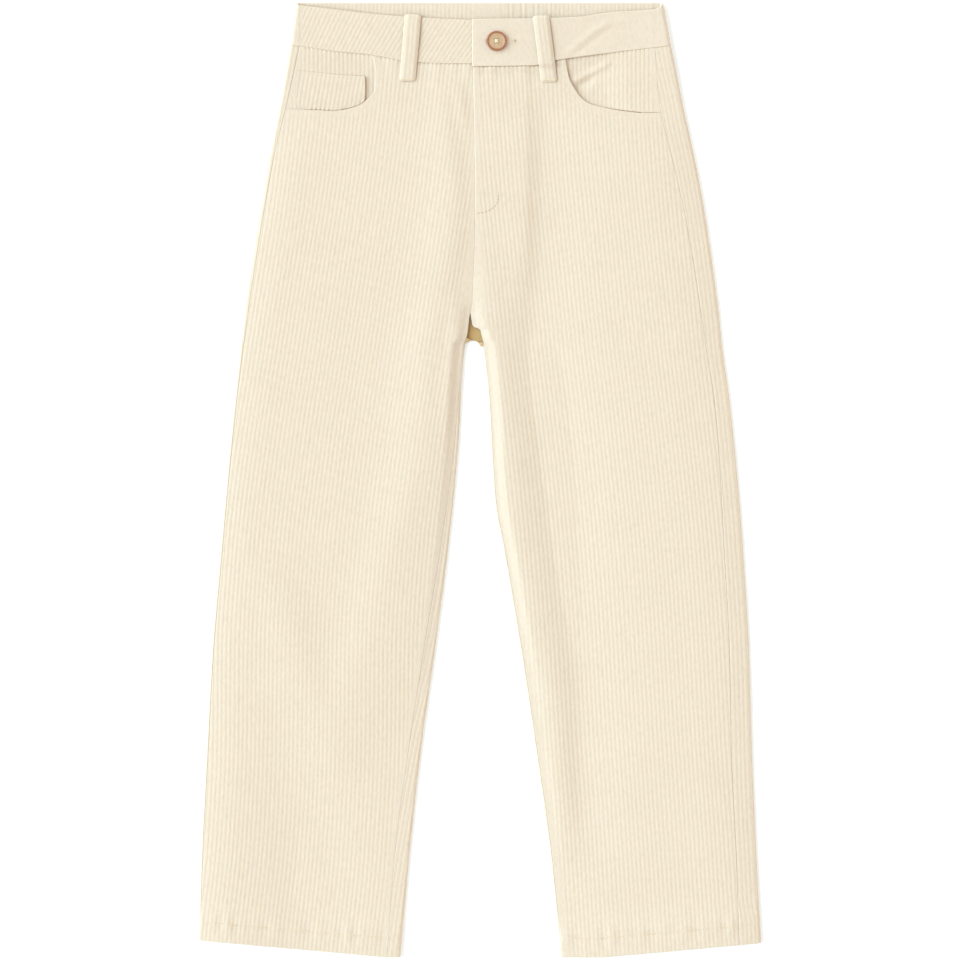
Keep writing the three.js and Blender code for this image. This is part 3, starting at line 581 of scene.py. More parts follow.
def place(rows, at, face, depth):
    """Points of the folded tube, an array of rows, columns and x, y, z.

    "at" is measured over the upper side when face is 1 and along the underside when it is -1, and
    goes on round a fold past its start. depth is how far in from the outer side a point lies.
    """
    outer_start = rows.outer - rows.radius
    inner_start = rows.inner + rows.radius
    way = np.where(at > outer_start, 1, -1)
    start = np.where(way > 0, outer_start, inner_start)
    past = np.maximum(0, way * (at - start))
    turn = np.minimum(past / rows.radius, math.pi)
    beyond = np.maximum(0, past - math.pi * rows.radius)
    upper = (1 + face * np.cos(turn)) / 2
    normal_out = np.where(past > 0, way * np.sin(turn), 0)
    normal_z = face * np.cos(turn)
    out = np.where(past > 0, start + way * (rows.radius * np.sin(turn) - beyond), at)
    round_z = rows.floor + rows.radius * (1 + normal_z)
    z = np.where(upper > 0.999999, rows.top(out), round_z)
    sign = rows.leg.sign
    return np.stack([sign * (out - normal_out * depth), rows.y(out, upper), z - normal_z * depth], axis=-1)


def wrap_length(radius, wrap):
    """How far cloth reaches from the underside round a fold to a seam that lies wrap in from the fold."""
    turned = radius * (math.pi - np.arcsin(clamp(1 - wrap / radius, -1, 1)))
    return np.where(wrap >= radius, math.pi * radius + wrap - radius, turned)


def wale(across, strength=1.0):
    """The height of the pile, from 0 in the line between two wales to 1 on top of one."""
    rib = np.abs(np.sin(math.pi * across / PITCH)) ** WALE_POWER
    return lerp(PRESSED, rib, strength)


def wander(index, along):
    """How far a wale strays sideways, a slow wave that differs from wale to wale."""
    slow = np.sin(along / 61 + 0.37 * index) + np.sin(along / 23 + 1.3 * np.sin(index * 0.19))
    return WANDER * slow / 2


def ribs(rows, at, run=0, strength=1.0):
    """The pile of the wales over a panel, which lean by run and wander."""
    across = at - run
    return wale(across - wander(across / PITCH, rows.level), strength)


def edge_roll(distance, radius=EDGE_ROLL):
    """How deep the surface lies near an edge that turns down."""
    left = clamp(radius - distance, 0, radius)
    return radius - np.sqrt(radius * radius - left * left)


def wale_columns(run, start, end, samples=SAMPLES, along=0):
    """Places across a panel that follow its wales, between two edges with close columns of their own."""
    step = PITCH / samples
    first = math.floor(np.min((start - run) / step))
    last = math.ceil(np.max((end - run) / step))
    index = np.arange(first, last + 1)[None, :]
    lines = run + step * index + wander(index / samples, along)
    margins = np.array(EDGE_COLUMNS)[None, :]
    inside = margins[0, -1] + step / 2
    middle = clamp(lines, start + inside, end - inside)
    return np.hstack([start + margins, middle, end - margins[:, ::-1]])


# Meshes

def link(name, data):
    """A new object in the scene."""
    thing = bpy.data.objects.new(name, data)
    bpy.context.scene.collection.objects.link(thing)
    return thing


def zip_lines(first, second):
    """Triangles between two lines of points, given as numbers and places, walking along both."""

    def shares(places):
        steps = np.linalg.norm(np.diff(places, axis=0), axis=1)
        sums = np.concatenate([[0], np.cumsum(steps)])
        return sums / sums[-1]

    numbers_a, places_a = first
    numbers_b, places_b = second
    share_a = shares(places_a)
    share_b = shares(places_b)
    faces = []
    i = 0
    k = 0
    while i < len(numbers_a) - 1 or k < len(numbers_b) - 1:
        b_done = k == len(numbers_b) - 1
        if b_done or (i < len(numbers_a) - 1 and share_a[i + 1] <= share_b[k + 1]):
            faces.append((numbers_a[i], numbers_a[i + 1], numbers_b[k]))
            i += 1
        else:
            faces.append((numbers_b[k + 1], numbers_b[k], numbers_a[i]))
            k += 1
    return faces


def quads(numbers, flip=False):
    """Two triangles for each cell of a grid of point numbers."""
    a = numbers[:-1, :-1].ravel()
    b = numbers[1:, :-1].ravel()
    c = numbers[1:, 1:].ravel()
    d = numbers[:-1, 1:].ravel()
    if flip:
        return np.vstack([np.stack([a, c, b], 1), np.stack([a, d, c], 1)])
    return np.vstack([np.stack([a, b, c], 1), np.stack([a, c, d], 1)])


def wall(name, outer, inner, pile, lining=PRESSED):
    """A closed wall between two grids of points, with the height of the pile on each, which in places also
    holds painted shade.
    """
    outer_shape = outer.shape[:2]
    inner_shape = inner.shape[:2]
    places = np.vstack([outer.reshape(-1, 3), inner.reshape(-1, 3)])
    outer_count = outer_shape[0] * outer_shape[1]
    outer_numbers = np.arange(outer_count).reshape(outer_shape)
    inner_numbers = outer_count + np.arange(inner_shape[0] * inner_shape[1]).reshape(inner_shape)
    faces = [quads(outer_numbers), quads(inner_numbers, True)]

    def line(numbers):
        return numbers, places[numbers]

    rims = [
        (outer_numbers[0], inner_numbers[0]),
        (inner_numbers[-1], outer_numbers[-1]),
        (inner_numbers[:, 0], outer_numbers[:, 0]),
        (outer_numbers[:, -1], inner_numbers[:, -1]),
    ]
    faces += [np.array(zip_lines(line(one), line(other))) for one, other in rims]
    grids = [np.broadcast_to(pile, outer_shape).ravel(), np.broadcast_to(lining, inner_shape).ravel()]
    heights = np.concatenate(grids)
    return cloth_object(name, places, np.vstack(faces), heights)


def cloth_object(name, places, faces, heights):
    """A mesh object with outward faces, in metres, whose points carry the height of the pile, which below 0
    holds painted shade.
    """
    rounded = np.round(places, 3)
    _, keep, merged = np.unique(rounded, axis=0, return_index=True, return_inverse=True)
    faces = merged.ravel()[faces]
    whole = (faces[:, 0] != faces[:, 1]) & (faces[:, 1] != faces[:, 2]) & (faces[:, 2] != faces[:, 0])
    faces = faces[whole]
    points = places[keep]
    corners = points[faces]
    volume = np.einsum("ij,ij->", corners[:, 0], np.cross(corners[:, 1], corners[:, 2]))
    if volume < 0:
        faces = faces[:, ::-1]
    mesh = bpy.data.meshes.new(name)
    mesh.vertices.add(len(points))
    mesh.vertices.foreach_set("co", (points * MM).ravel())
    mesh.loops.add(faces.size)
    mesh.loops.foreach_set("vertex_index", faces.ravel().astype(np.int32))
    mesh.polygons.add(len(faces))
    mesh.polygons.foreach_set("loop_start", np.arange(0, faces.size, 3, dtype=np.int32))
    mesh.polygons.foreach_set("use_smooth", np.ones(len(faces), bool))
    pile = mesh.attributes.new("pile", "FLOAT", "POINT")
    pile.data.foreach_set("value", heights[keep].astype(np.float32))
    mesh.update(calc_edges=True)
    mesh.validate()
    mesh.set_sharp_from_angle(angle=math.radians(80))
    return link(name, mesh)


# Panels

def level_of(leg, out, y):
    """The levels whose rows of cloth pass through places on the upper side."""
    out = np.asarray(out, float)[:, None]
    y = np.asarray(y, float)[:, None]
    level = y.copy()
    for _ in range(LEVEL_TRIES):
        level = level + y - PanelRows(leg, level[:, 0]).y(out, 1)
    return level[:, 0]


def panel_levels(leg):
    """The levels of a leg's rows, from the waist down."""
    levels = [WAIST_LEVEL, *(WAIST_LEVEL - np.array(EDGE_COLUMNS)), *(HEM_LEVEL + np.array(EDGE_COLUMNS))]
    for start, end, step in zip(ROW_STEPS["from"], ROW_STEPS["to"], ROW_STEPS["step"]):
        levels += list(np.linspace(start, end, round((start - end) / step) + 1))
    levels += list(leg.mouth_levels)
    levels += [FORK_LEVEL, FORK_LEVEL - 0.1, CROTCH_LEVEL, CROTCH_LEVEL - 0.1]
    return np.unique(np.round(levels, 2))[::-1]


def front_start(leg, rows):
    centre = leg.sign * centre_front_x(rows.level) + SEAM
    wrapped = wrap_length(rows.radius, leg.in_wrap(rows.level))
    split = rows.inner + rows.radius - math.pi * rows.radius + wrapped + SEAM
    return np.where(rows.level >= CROTCH_LEVEL, centre, split)


def side_seam(leg, rows):
    wrapped = wrap_length(rows.radius, leg.out_wrap(rows.level))
    return rows.outer - rows.radius + math.pi * rows.radius - wrapped


def front_end(leg, rows):
    by_mouth = leg.mouth_out(rows.level)
    return np.where(rows.level > leg.mouth_levels[-1] + 0.01, by_mouth, side_seam(leg, rows) - SEAM)


def mouth_line(leg):
    """The pocket mouth as close points of out and y."""
    levels = np.arange(leg.mouth_levels[-1], WAIST_LEVEL, MOUTH_SPACING)
    rows = PanelRows(leg, levels)
    outs = leg.mouth_out(rows.level)
    rim = np.hstack([outs, rows.y(outs, 1)])
    low = PanelRows(leg, leg.mouth_levels[-1:])
    low_outs = np.arange(leg.mouth_end, float(side_seam(leg, low)[0, 0]), MOUTH_SPACING)[:, None]
    return np.vstack([rim, np.hstack([low_outs, low.y(low_outs, 1)])])


def to_mouth(leg, points):
    """The distance of each point from the pocket mouth, seen from above."""
    distance = np.full(points.shape[:2], FAR)
    near = points[:, 0, 1] > MOUTH_LOWEST
    out = leg.sign * points[near, :, 0]
    y = points[near, :, 1]
    gap_out = out[..., None] - leg.mouth_line[:, 0]
    gap_y = y[..., None] - leg.mouth_line[:, 1]
    distance[near] = np.sqrt(np.min(gap_out ** 2 + gap_y ** 2, axis=-1))
    return distance


def fly_row():
    """The outs and levels of the curved row of stitches that holds the zip's cover."""
    straight = np.arange(WAIST_LEVEL - 4, FLY_CURVE_LEVEL, -4.0)
    turn = np.linspace(0, math.pi / 2, 12)[1:]
    curved = FLY_STITCH_X - (FLY_STITCH_X - FLY_STITCH_END_X) * (1 - np.cos(turn))
    outs = np.concatenate([np.full(straight.size, FLY_STITCH_X), curved])
    levels = np.concatenate([straight, FLY_CURVE_LEVEL - FLY_CURVE_DROP * np.sin(turn)])
    return outs, levels


def seam_dots(pile, distance):
    """The lines between wales run deep where they end at a seam."""
    return SEAM_DOT * (1 - pile) * smooth(1 - distance / SEAM_DOT_RUN)


for side_leg in LEGS.values():
    side_leg.mouth_levels = level_of(side_leg, side_leg.mouth["out"], side_leg.mouth["y"])
    side_leg.mouth_end = side_leg.mouth["out"][-1]
    reached = {"level": side_leg.mouth_levels, "out": side_leg.mouth["out"]}
    side_leg.mouth_out = curve(reached, "out", "level")
    side_leg.mouth_line = mouth_line(side_leg)


def puckers(at, level, seam_level, reach):
    """Small ripples in cloth that is drawn in along a seam."""
    ripple = np.sin(at / 2.9 + 2 * np.sin(at / 17)) * np.sin(at / 11 + 1)
    return PUCKER * ripple * np.exp(-(((level - seam_level) / reach) ** 2))


def sewn_depth(level):
    """How deep the cloth is drawn in at the waistband's edge and along the hem's stitches."""
    tuck = WAIST_TUCK * smooth(1 - (WAIST_LEVEL - level) / WAIST_TUCK_RUN)
    return tuck + STITCH_DENT * np.exp(-(((level - HEM_SEAM_LEVEL) / STITCH_DENT_REACH) ** 2))


def front_panel(side):
    leg = LEGS[side]
    rows = PanelRows(leg, panel_levels(leg))
    start = front_start(leg, rows)
    end = front_end(leg, rows)
    run = leg.run(rows.level)
    at = wale_columns(run, start, end, SAMPLES, rows.level)
    at_mouth = to_mouth(leg, place(rows, at, 1, 0))
    strength = 1 - PRESS * (1 - smooth((at - start) / leg.pressed(rows.level) - PRESS_FROM))
    strength = strength * (1 - MOUTH_PRESS * smooth((MOUTH_BAND - at_mouth) / MOUTH_BAND_FADE))
    pile = ribs(rows, at, run, strength)
    side_edge = end - at + np.where(rows.level > leg.mouth_levels[-1], 0, SIDE_SEAM_FLAT)
    mouth_flat = MOUTH_FLAT * smooth((at - MOUTH_FADE_FROM[side]) / MOUTH_FADE_RUN)
    edges = np.minimum(np.minimum(at - start + SEAM_FLAT, side_edge), at_mouth + mouth_flat)
    edges = np.minimum(edges, rows.level - HEM_LEVEL)
    depth = RELIEF * (1 - pile) + edge_roll(edges) + seam_dots(pile, WAIST_LEVEL - rows.level)
    if side == "left":
        above_fly = smooth((rows.level - FLY_END_LEVEL) / FLY_END_FADE)
        depth = depth + above_fly * edge_roll(at - start, CENTRE_ROLL) / CENTRE_ROLL_EASE
        near_tab = tab_raise(at) / TAB_RAISE * smooth(1 - (WAIST_LEVEL - rows.level) / TAB_FILL_RUN)
        depth = depth - TAB_FILL * near_tab
    depth = depth + sewn_depth(rows.level) + puckers(at, rows.level, HEM_SEAM_LEVEL, HEM_PUCKER_REACH)
    depth = depth + puckers(at, rows.level, WAIST_LEVEL, WAIST_PUCKER_REACH)
    outer = place(rows, at, 1, depth)
    columns = start + (end - start) * spread(PLAIN_COLUMNS)
    inner = place(rows, columns, 1, wall_at(rows.level))
    piece = wall(f"cloth_front_{side}", outer, inner, pile)
    dress(piece, f"front_{side}")


def wall_at(level):
    return WALL + GROUND * smooth((HEM_SEAM_LEVEL - level) / HEM_STEP)


def fork_dip(x, level):
    """How far the backs' lower edge between the legs hangs down, more towards the left leg."""
    rise = clamp((x - FORK_DIP_FROM_X) / FORK_DIP_RUN, 0, 1)
    across = rise * (1 - smooth((x - FORK_DIP_END_X) / FORK_DIP_END_RUN))
    near = np.exp(-(((level - FORK_LEVEL) / FORK_DIP_REACH) ** 2))
    return FORK_DIP * across * near


def back_panel(side):
    leg = LEGS[side]
    rows = PanelRows(leg, panel_levels(leg), whole=True)
    whole = rows.level >= FORK_LEVEL
    flat_from = np.where(whole, leg.sign * CENTRE_BACK_X + SEAM, rows.inner + rows.radius)
    flat_to = rows.outer - rows.radius
    in_length = np.where(whole, 0, wrap_length(rows.radius, leg.in_wrap(rows.level)) - SEAM)
    out_length = wrap_length(rows.radius, leg.out_wrap(rows.level)) - SEAM
    start = flat_from - in_length
    end = flat_to + out_length
    at = wale_columns(flat_to, start, end, UNDER_SAMPLES, rows.level)
    pile = ribs(rows, at, flat_to)
    edges = np.minimum(np.minimum(at - start, end - at) + SIDE_SEAM_FLAT, rows.level - HEM_LEVEL)
    depth = RELIEF * (1 - pile) + edge_roll(edges) + sewn_depth(rows.level)
    outer = place(rows, at, -1, depth)
    turn = spread(TURN_COLUMNS)
    under = spread(PLAIN_COLUMNS)[:, 1:-1] ** 2
    columns = np.hstack([
        start + in_length * turn,
        flat_from + (flat_to - flat_from) * under,
        flat_to + out_length * turn,
    ])
    inner = place(rows, columns, -1, wall_at(rows.level))
    # Painted shade: the inside is coloured darker towards the recess under the crotch, and so is the
    # outside round the fork.
    from_recess = np.hypot(inner[..., 0] - RECESS_X, rows.level - RECESS_LEVEL)
    lining = lerp(PRESSED, PAINTED_RECESS_SHADE_PILE, np.exp(-((from_recess / RECESS_SHADE_REACH) ** 4)))
    for side_of_wall in (outer, inner):
        side_of_wall[..., 1] -= fork_dip(side_of_wall[..., 0], rows.level)
    from_recess = np.hypot(outer[..., 0] - RECESS_X, rows.level - FORK_LEVEL)
    seen = np.where(np.abs(rows.level - FORK_LEVEL) < FORK_EDGE, 1, smooth(outer[..., 2] - 1))
    painted_fork_shade = np.exp(-((from_recess / FORK_SHADE_REACH) ** 4)) * seen
    piece = wall(f"cloth_back_{side}", outer, inner, lerp(pile, PAINTED_RECESS_SHADE_PILE, painted_fork_shade), lining)
    dress(piece, f"back_{side}")


def dress(piece, node, slot="corduroy"):
    """Puts a cloth piece in place of a node's part, which it hides, and gives it its material."""
    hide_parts(node)
    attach(piece, "root")
    piece.data.materials.append(MATERIALS[slot])


# Pockets

def pocket_facing(side):
    leg = LEGS[side]
    turn = np.linspace(0, math.pi / 2, len(leg.mouth["out"]))
    from_out = leg.mouth["out"] - FACING_LAP * np.cos(turn)
    low_levels = level_of(leg, from_out, leg.mouth["y"] - FACING_LAP * np.sin(turn))
    low_levels[0] = WAIST_LEVEL
    inner_edge = curve({"level": low_levels, "out": from_out}, "out", "level")
    levels = np.arange(WAIST_LEVEL - 2, low_levels[-1], -FACING_ROW[side])
    rows = PanelRows(leg, np.concatenate([WAIST_LEVEL - np.array(EDGE_COLUMNS), levels]))
    mouth_y = curve(leg.mouth, "y", "out")
    start = inner_edge(rows.level)
    end = rows.outer - leg.out_wrap(rows.level) - SEAM
    at = wale_columns(0, start, end, SAMPLES, rows.level)
    pile = ribs(rows, at, 0, smooth((end - at) / SIDE_PRESS - SIDE_PRESS_FROM))

    def top(out):
        below_waist = lerp(FACING_TOP_SHARE, 1, smooth((WAIST_LEVEL - rows.level) / FACING_TOP_RUN))
        in_mouth = smooth((rows.y(out, 1) - mouth_y(out)) / MOUTH_RISE_RUN[side])
        low_from, full_from = FACING_RISE[side]
        risen = in_mouth * (1 - smooth((end - out - full_from) / (low_from - full_from)))
        depth = (WALL + LAYER_GAP) * (1 - risen) * below_waist
        if side == "right":
            return depth
        return depth - in_mouth * soft_rise(FACING_FOLDS, out, rows.y(out, 1), FACING_FOLD_END)

    depth = top(at) + POCKET_RELIEF * (1 - pile) + seam_dots(pile, WAIST_LEVEL - rows.level)
    outer = place(rows, at, 1, depth)
    columns = lerp(start, end, spread(PLAIN_COLUMNS))
    inner = place(rows, columns, 1, top(columns) + WALL)
    # The facing is coloured a little darker, as painted shade.
    piece = wall(f"cloth_pocket_facing_{side}", outer, inner, pile - POCKET_PAINTED_SHADE)
    dress(piece, f"pocket_facing_{side}")


def coin_top(leg):
    """The level of the coin pocket's upper edge."""
    return level_of(leg, [(COIN_INNER_OUT + COIN_OUTER_OUT) / 2], [COIN_TOP_Y])[0]


def coin_pocket():
    leg = LEGS["right"]
    top = coin_top(leg)
    low = leg.mouth_levels[-1] + COIN_GAP
    between = np.arange(top - COIN_FIRST_ROW, low + COIN_LAST_ROW, -COIN_ROW)
    levels = np.concatenate([top - np.array(EDGE_COLUMNS), between, [low]])
    rows = PanelRows(leg, levels)
    mouth_out = leg.mouth_out(rows.level - COIN_GAP) + COIN_GAP
    start = np.maximum(COIN_INNER_OUT, mouth_out)
    end = COIN_OUTER_OUT + 0 * start
    run = (top - rows.level) * math.tan(math.radians(COIN_LEAN))
    at = wale_columns(run, start, end, SAMPLES, rows.level)
    pile = ribs(rows, at, run)
    edges = np.minimum(np.minimum(at - start, end - at), top - rows.level)
    from_mouth = to_mouth(leg, place(rows, at, 1, 0))
    near_mouth = smooth(1 - np.minimum(from_mouth, COIN_SINK_RUN) / COIN_SINK_RUN)
    depth = POCKET_RELIEF * (1 - pile) + edge_roll(edges) * COIN_ROLL + COIN_SINK * near_mouth
    outer = place(rows, at, 1, depth + seam_dots(pile, from_mouth))
    inner = place(rows, lerp(start, end, spread(PLAIN_COLUMNS)), 1, WALL)
    # The coin pocket is coloured a little darker, as painted shade.
    piece = wall("cloth_coin_pocket", outer, inner, pile - POCKET_PAINTED_SHADE)
    dress(piece, "coin_pocket")


# Fly

def fly_shield():
    levels = np.linspace(WAIST_LEVEL - GAP, FLY_END_LEVEL, SHIELD_ROWS)
    rows = PanelRows(LEGS["left"], levels)
    end = SHIELD_END_X
    at = wale_columns(0, SHIELD_INNER_X + 0 * rows.level, end + 0 * rows.level, UNDER_SAMPLES)
    pile = wale(at)

    def layer(x, depth):
        y = rows.y(np.maximum(x, 0), 1) - GAP
        z = rows.flat_top - WALL - GAP - depth
        return np.stack(np.broadcast_arrays(x, y, z), axis=-1)

    columns = lerp(SHIELD_INNER_X, end, spread(PLAIN_COLUMNS)) + 0 * rows.level
    piece = wall("cloth_fly_shield", layer(at, SHIELD_RELIEF * (1 - pile)), layer(columns, GROUND), pile)
    dress(piece, "fly_shield")


# Waistband

def band_shares():
    """The rows across the waistband, closer at its two edges."""
    edges = np.array(EDGE_COLUMNS) / BAND_HEIGHT
    return np.concatenate([edges, np.linspace(0, 1, BAND_ROWS)[1:-1], 1 - edges[::-1]])


def band_edges(rows):
    return np.minimum(rows.share, 1 - rows.share) * BAND_HEIGHT


def front_band_end(leg):
    return leg.outer(WAIST_LEVEL) - leg.out_wrap(WAIST_LEVEL) - SEAM


def front_band_right():
    leg = LEGS["right"]
    rows = BandRows(leg, band_shares())
    start = -RIGHT_BAND_END_X
    end = front_band_end(leg)

    def lean_at(out):
        return math.radians(lerp(LEAN_AT_CENTRE, LEAN_AT_SIDE, clamp(out / end, 0, 1)))

    feet = [start]
    while feet[-1] < end + BAND_HEIGHT:
        feet.append(feet[-1] + BAND_PITCH / SAMPLES / math.cos(lean_at(feet[-1])))
    feet = np.array(feet)[None, :]
    slant = np.array([math.tan(lean_at(foot)) for foot in feet[0]])[None, :]
    margins = np.array(EDGE_COLUMNS)[None, :] + 0 * rows.share
    middle = clamp(feet - slant * BAND_HEIGHT * rows.share, start + BAND_MARGIN, end - BAND_MARGIN)
    at = np.hstack([start + margins, middle, end - margins[:, ::-1]])
    index = np.arange(feet.size)[None, :]
    plain = np.full(margins.shape, PRESSED)
    pile = np.hstack([plain, wale(index * PITCH / SAMPLES + 0 * rows.share), plain])
    pile = lerp(pile, PRESSED, smooth(1 - (end - at) / BAND_SIDE_FADE))
    edges = np.minimum(at - start, band_edges(rows))
    outer = place(rows, at, 1, RELIEF * (1 - pile) + edge_roll(edges))
    columns = lerp(start, end, spread(BAND_COLUMNS)) + 0 * rows.share
    inner = place(rows, columns, 1, BAND_WALL - edge_roll(band_edges(rows)))
    piece = wall("cloth_waistband_front_right", outer, inner, pile)
    dress(piece, "waistband_front_right")


def tab_raise(x):
    """How much the lapped tab lifts the left waistband."""
    return TAB_RAISE * smooth((TAB_LEVEL_FROM - x) / (TAB_LEVEL_FROM - TAB_RAISED_TO))


def raised(points, x):
    points[..., 2] += tab_raise(x)
    return points


def front_band_left():
    leg = LEGS["left"]
    rows = BandRows(leg, band_shares())
    start = TAB_END_X
    end = front_band_end(leg)
    margins = np.array(EDGE_COLUMNS)
    middle = np.arange(start + BAND_MARGIN, end - BAND_MARGIN, BAND_SMOOTH_STEP)
    at = np.concatenate([start + margins, middle, end - margins[::-1]])[None, :] + 0 * rows.share
    pile = wale(rows.share * BAND_HEIGHT + BAND_SWAY * np.sin(at / BAND_SWAY_RUN), BAND_RIB_STRENGTH)
    edges = np.minimum((at - start) * TAB_ROUND, band_edges(rows))
    fold = soft_rise(BAND_FOLDS, at, rows.share * BAND_HEIGHT, BAND_FOLD_END)
    outer = raised(place(rows, at, 1, RELIEF * (1 - pile) + edge_roll(edges) - fold), at)
    columns = lerp(start, end, spread(3 * BAND_COLUMNS)) + 0 * rows.share
    inner = raised(place(rows, columns, 1, BAND_WALL - edge_roll(band_edges(rows))), columns)
    piece = wall("cloth_waistband_front_left", outer, inner, pile)
    dress(piece, "waistband_front_left")


def back_band():
    right = BandRows(LEGS["right"], band_shares())
    left = BandRows(LEGS["left"], band_shares())
    turn = spread(2 * TURN_COLUMNS)

    def turned(rows, depth):
        leg = rows.leg
        seam_out = leg.outer(WAIST_LEVEL) - leg.out_wrap(WAIST_LEVEL)
        length = wrap_length(rows.radius, rows.outer - seam_out) - SEAM
        return place(rows, rows.outer - rows.radius + length * turn, -1, depth)

    def under(depth, step):
        reach = BAND_OUTER_TOP - BAND_TOP
        x = np.arange(-reach, reach + step / 2, step)[None, :] + 0 * left.share
        return x, place(left, x, -1, depth(x))

    roll = edge_roll(band_edges(left))
    _, plain = under(lambda x: roll + 0 * x, BAND_SMOOTH_STEP)
    outer = np.hstack([turned(right, roll)[:, ::-1], plain, turned(left, roll)])

    def inside(x):
        pile = wale(x - wander(x / PITCH, BAND_WANDER * left.share))
        patch = smooth((CENTRE_PATCH_HALF - np.abs(x - CENTRE_PATCH_X)) / CENTRE_PATCH_EDGE)
        pile = lerp(pile, PRESSED, patch)
        near_gather = np.exp(-(((x - GATHER_X) / GATHER_REACH) ** 2))
        gather = GATHER * near_gather * np.sin(x * 2 * math.pi / GATHER_PITCH)
        return pile, BAND_WALL - RELIEF * (1 - pile) + gather - roll

    inner_x, _ = under(lambda x: 0 * x, PITCH / SAMPLES)
    pile, depth = inside(inner_x)
    ribbed = place(left, inner_x, -1, depth)
    inner = np.hstack([turned(right, BAND_WALL - roll)[:, ::-1], ribbed, turned(left, BAND_WALL - roll)])
    plain_side = np.full((left.share.size, turn.size), PRESSED)
    inner_pile = np.hstack([plain_side, pile, plain_side])
    piece = wall("cloth_waistband_back", inner, outer, inner_pile)
    half = float(left.outer[0, 0] + LEGS["left"].out_wrap(WAIST_LEVEL))
    dress(piece, "waistband_back")


# Belt loops

def loop_piece(name, node, grid):
    across = np.concatenate([
        np.array(EDGE_COLUMNS) - LOOP_WIDTH / 2,
        np.arange(1 - LOOP_WIDTH / 2, LOOP_WIDTH / 2 - 1, PITCH / SAMPLES),
        LOOP_WIDTH / 2 - np.array(EDGE_COLUMNS)[::-1],
    ])[None, :]
    plain = np.linspace(-LOOP_WIDTH / 2, LOOP_WIDTH / 2, PLAIN_COLUMNS)[None, :]
    pile = wale(across + PITCH / 2, LOOP_STRENGTH)
    outer, inner = grid(across, pile, plain)
    piece = wall(name, outer, inner, pile)
    dress(piece, node)


def front_loop(side, top_out, bottom_out):
    leg = LEGS[side]
    edge_y = float(leg.band_top_y(top_out))
    seam_y = float(leg.waist_y(bottom_out))
    low_y = seam_y - LOOP_BELOW_BAND
    panel = PanelRows(leg, [WAIST_LEVEL])
    ys = np.concatenate([
        [edge_y + GAP, edge_y + GAP, edge_y + GAP * 0.7],
        np.arange(edge_y - 0.4, low_y + 1, -LOOP_ROW),
        low_y + np.array(EDGE_COLUMNS)[::-1],
    ])[:, None]
    lift = np.concatenate([[-LOOP_OVER_EDGE, 0, GAP * 0.7], np.full(ys.size - 3, GAP)])[:, None]
    angle = np.radians(np.concatenate([[90, 90, 55, 20], np.zeros(ys.size - 4)]))[:, None]
    bow = LOOP_BOW * np.sin(math.pi * clamp((ys - seam_y) / (edge_y - seam_y), 0, 1))
    in_corner = clamp(1 - (ys - low_y) / LOOP_CORNER, 0, 1)
    narrowed = 1 - (1 - np.sqrt(1 - in_corner ** 2)) * LOOP_CORNER / (LOOP_WIDTH / 2)
    centre = lerp(bottom_out, top_out, (ys - low_y) / (edge_y - low_y))

    def grid(across, pile, plain):
        def layer(side_shift, up):
            out = centre + side_shift * narrowed
            on_band = BAND_TOP + (tab_raise(out) if side == "left" else 0)
            under = lerp(panel.top(out), on_band, smooth((ys - seam_y + LOOP_STEP_BELOW) / LOOP_STEP_RUN))
            slant = (leg.band_top_y(out) - edge_y) * clamp((ys - seam_y) / (edge_y - seam_y), 0, 1)
            x = leg.sign * out
            y = ys + slant + up * np.sin(angle)
            z = under + lift + bow + up * np.cos(angle)
            return np.stack(np.broadcast_arrays(x, y, z), axis=-1)

        edges = np.minimum(LOOP_WIDTH / 2 - np.abs(across), ys - low_y)
        up = LOOP_WALL - RELIEF * (1 - pile) - LOOP_DROP * clamp(1 - edges / LOOP_EDGE, 0, 1) ** 2
        return layer(across, up), layer(plain, 0 * ys)

    loop_piece(f"cloth_belt_loop_front_{side}", f"belt_loop_front_{side}", grid)


def back_loop(name, x):
    low_y = WAIST_LEVEL - LOOP_BELOW_BAND
    ys = np.linspace(BAND_BACK_TOP - 1, low_y, BACK_LOOP_ROWS)[:, None]

    def grid(across, pile, plain):
        def layer(shift, z):
            return np.stack(np.broadcast_arrays(x + shift, ys, z), axis=-1)

        outward = (1 - pile) * RELIEF / 2 + edge_roll(LOOP_WIDTH / 2 - np.abs(across), 1)
        return layer(across, outward + 0 * ys), layer(plain, LOOP_BACK_WALL + 0 * plain)

    loop_piece(f"cloth_belt_loop_back_{name}", f"belt_loop_back_{name}", grid)


# Stitches

def capsule():
    """A short rounded thread along x, one unit from its middle to each end."""
    rings = [(-1, 0.02), (-0.75, 0.75), (0, 1), (0.75, 0.75), (1, 0.02)]
    turn = np.arange(STITCH_SIDES) * 2 * math.pi / STITCH_SIDES
    points = [(along, r * math.cos(t), r * math.sin(t)) for along, r in rings for t in turn]
    faces = []
    for ring in range(len(rings) - 1):
        for i in range(STITCH_SIDES):
            a = ring * STITCH_SIDES + i
            b = ring * STITCH_SIDES + (i + 1) % STITCH_SIDES
            faces.append((a, b, b + STITCH_SIDES))
            faces.append((a, b + STITCH_SIDES, a + STITCH_SIDES))
    return np.array(points), np.array(faces)


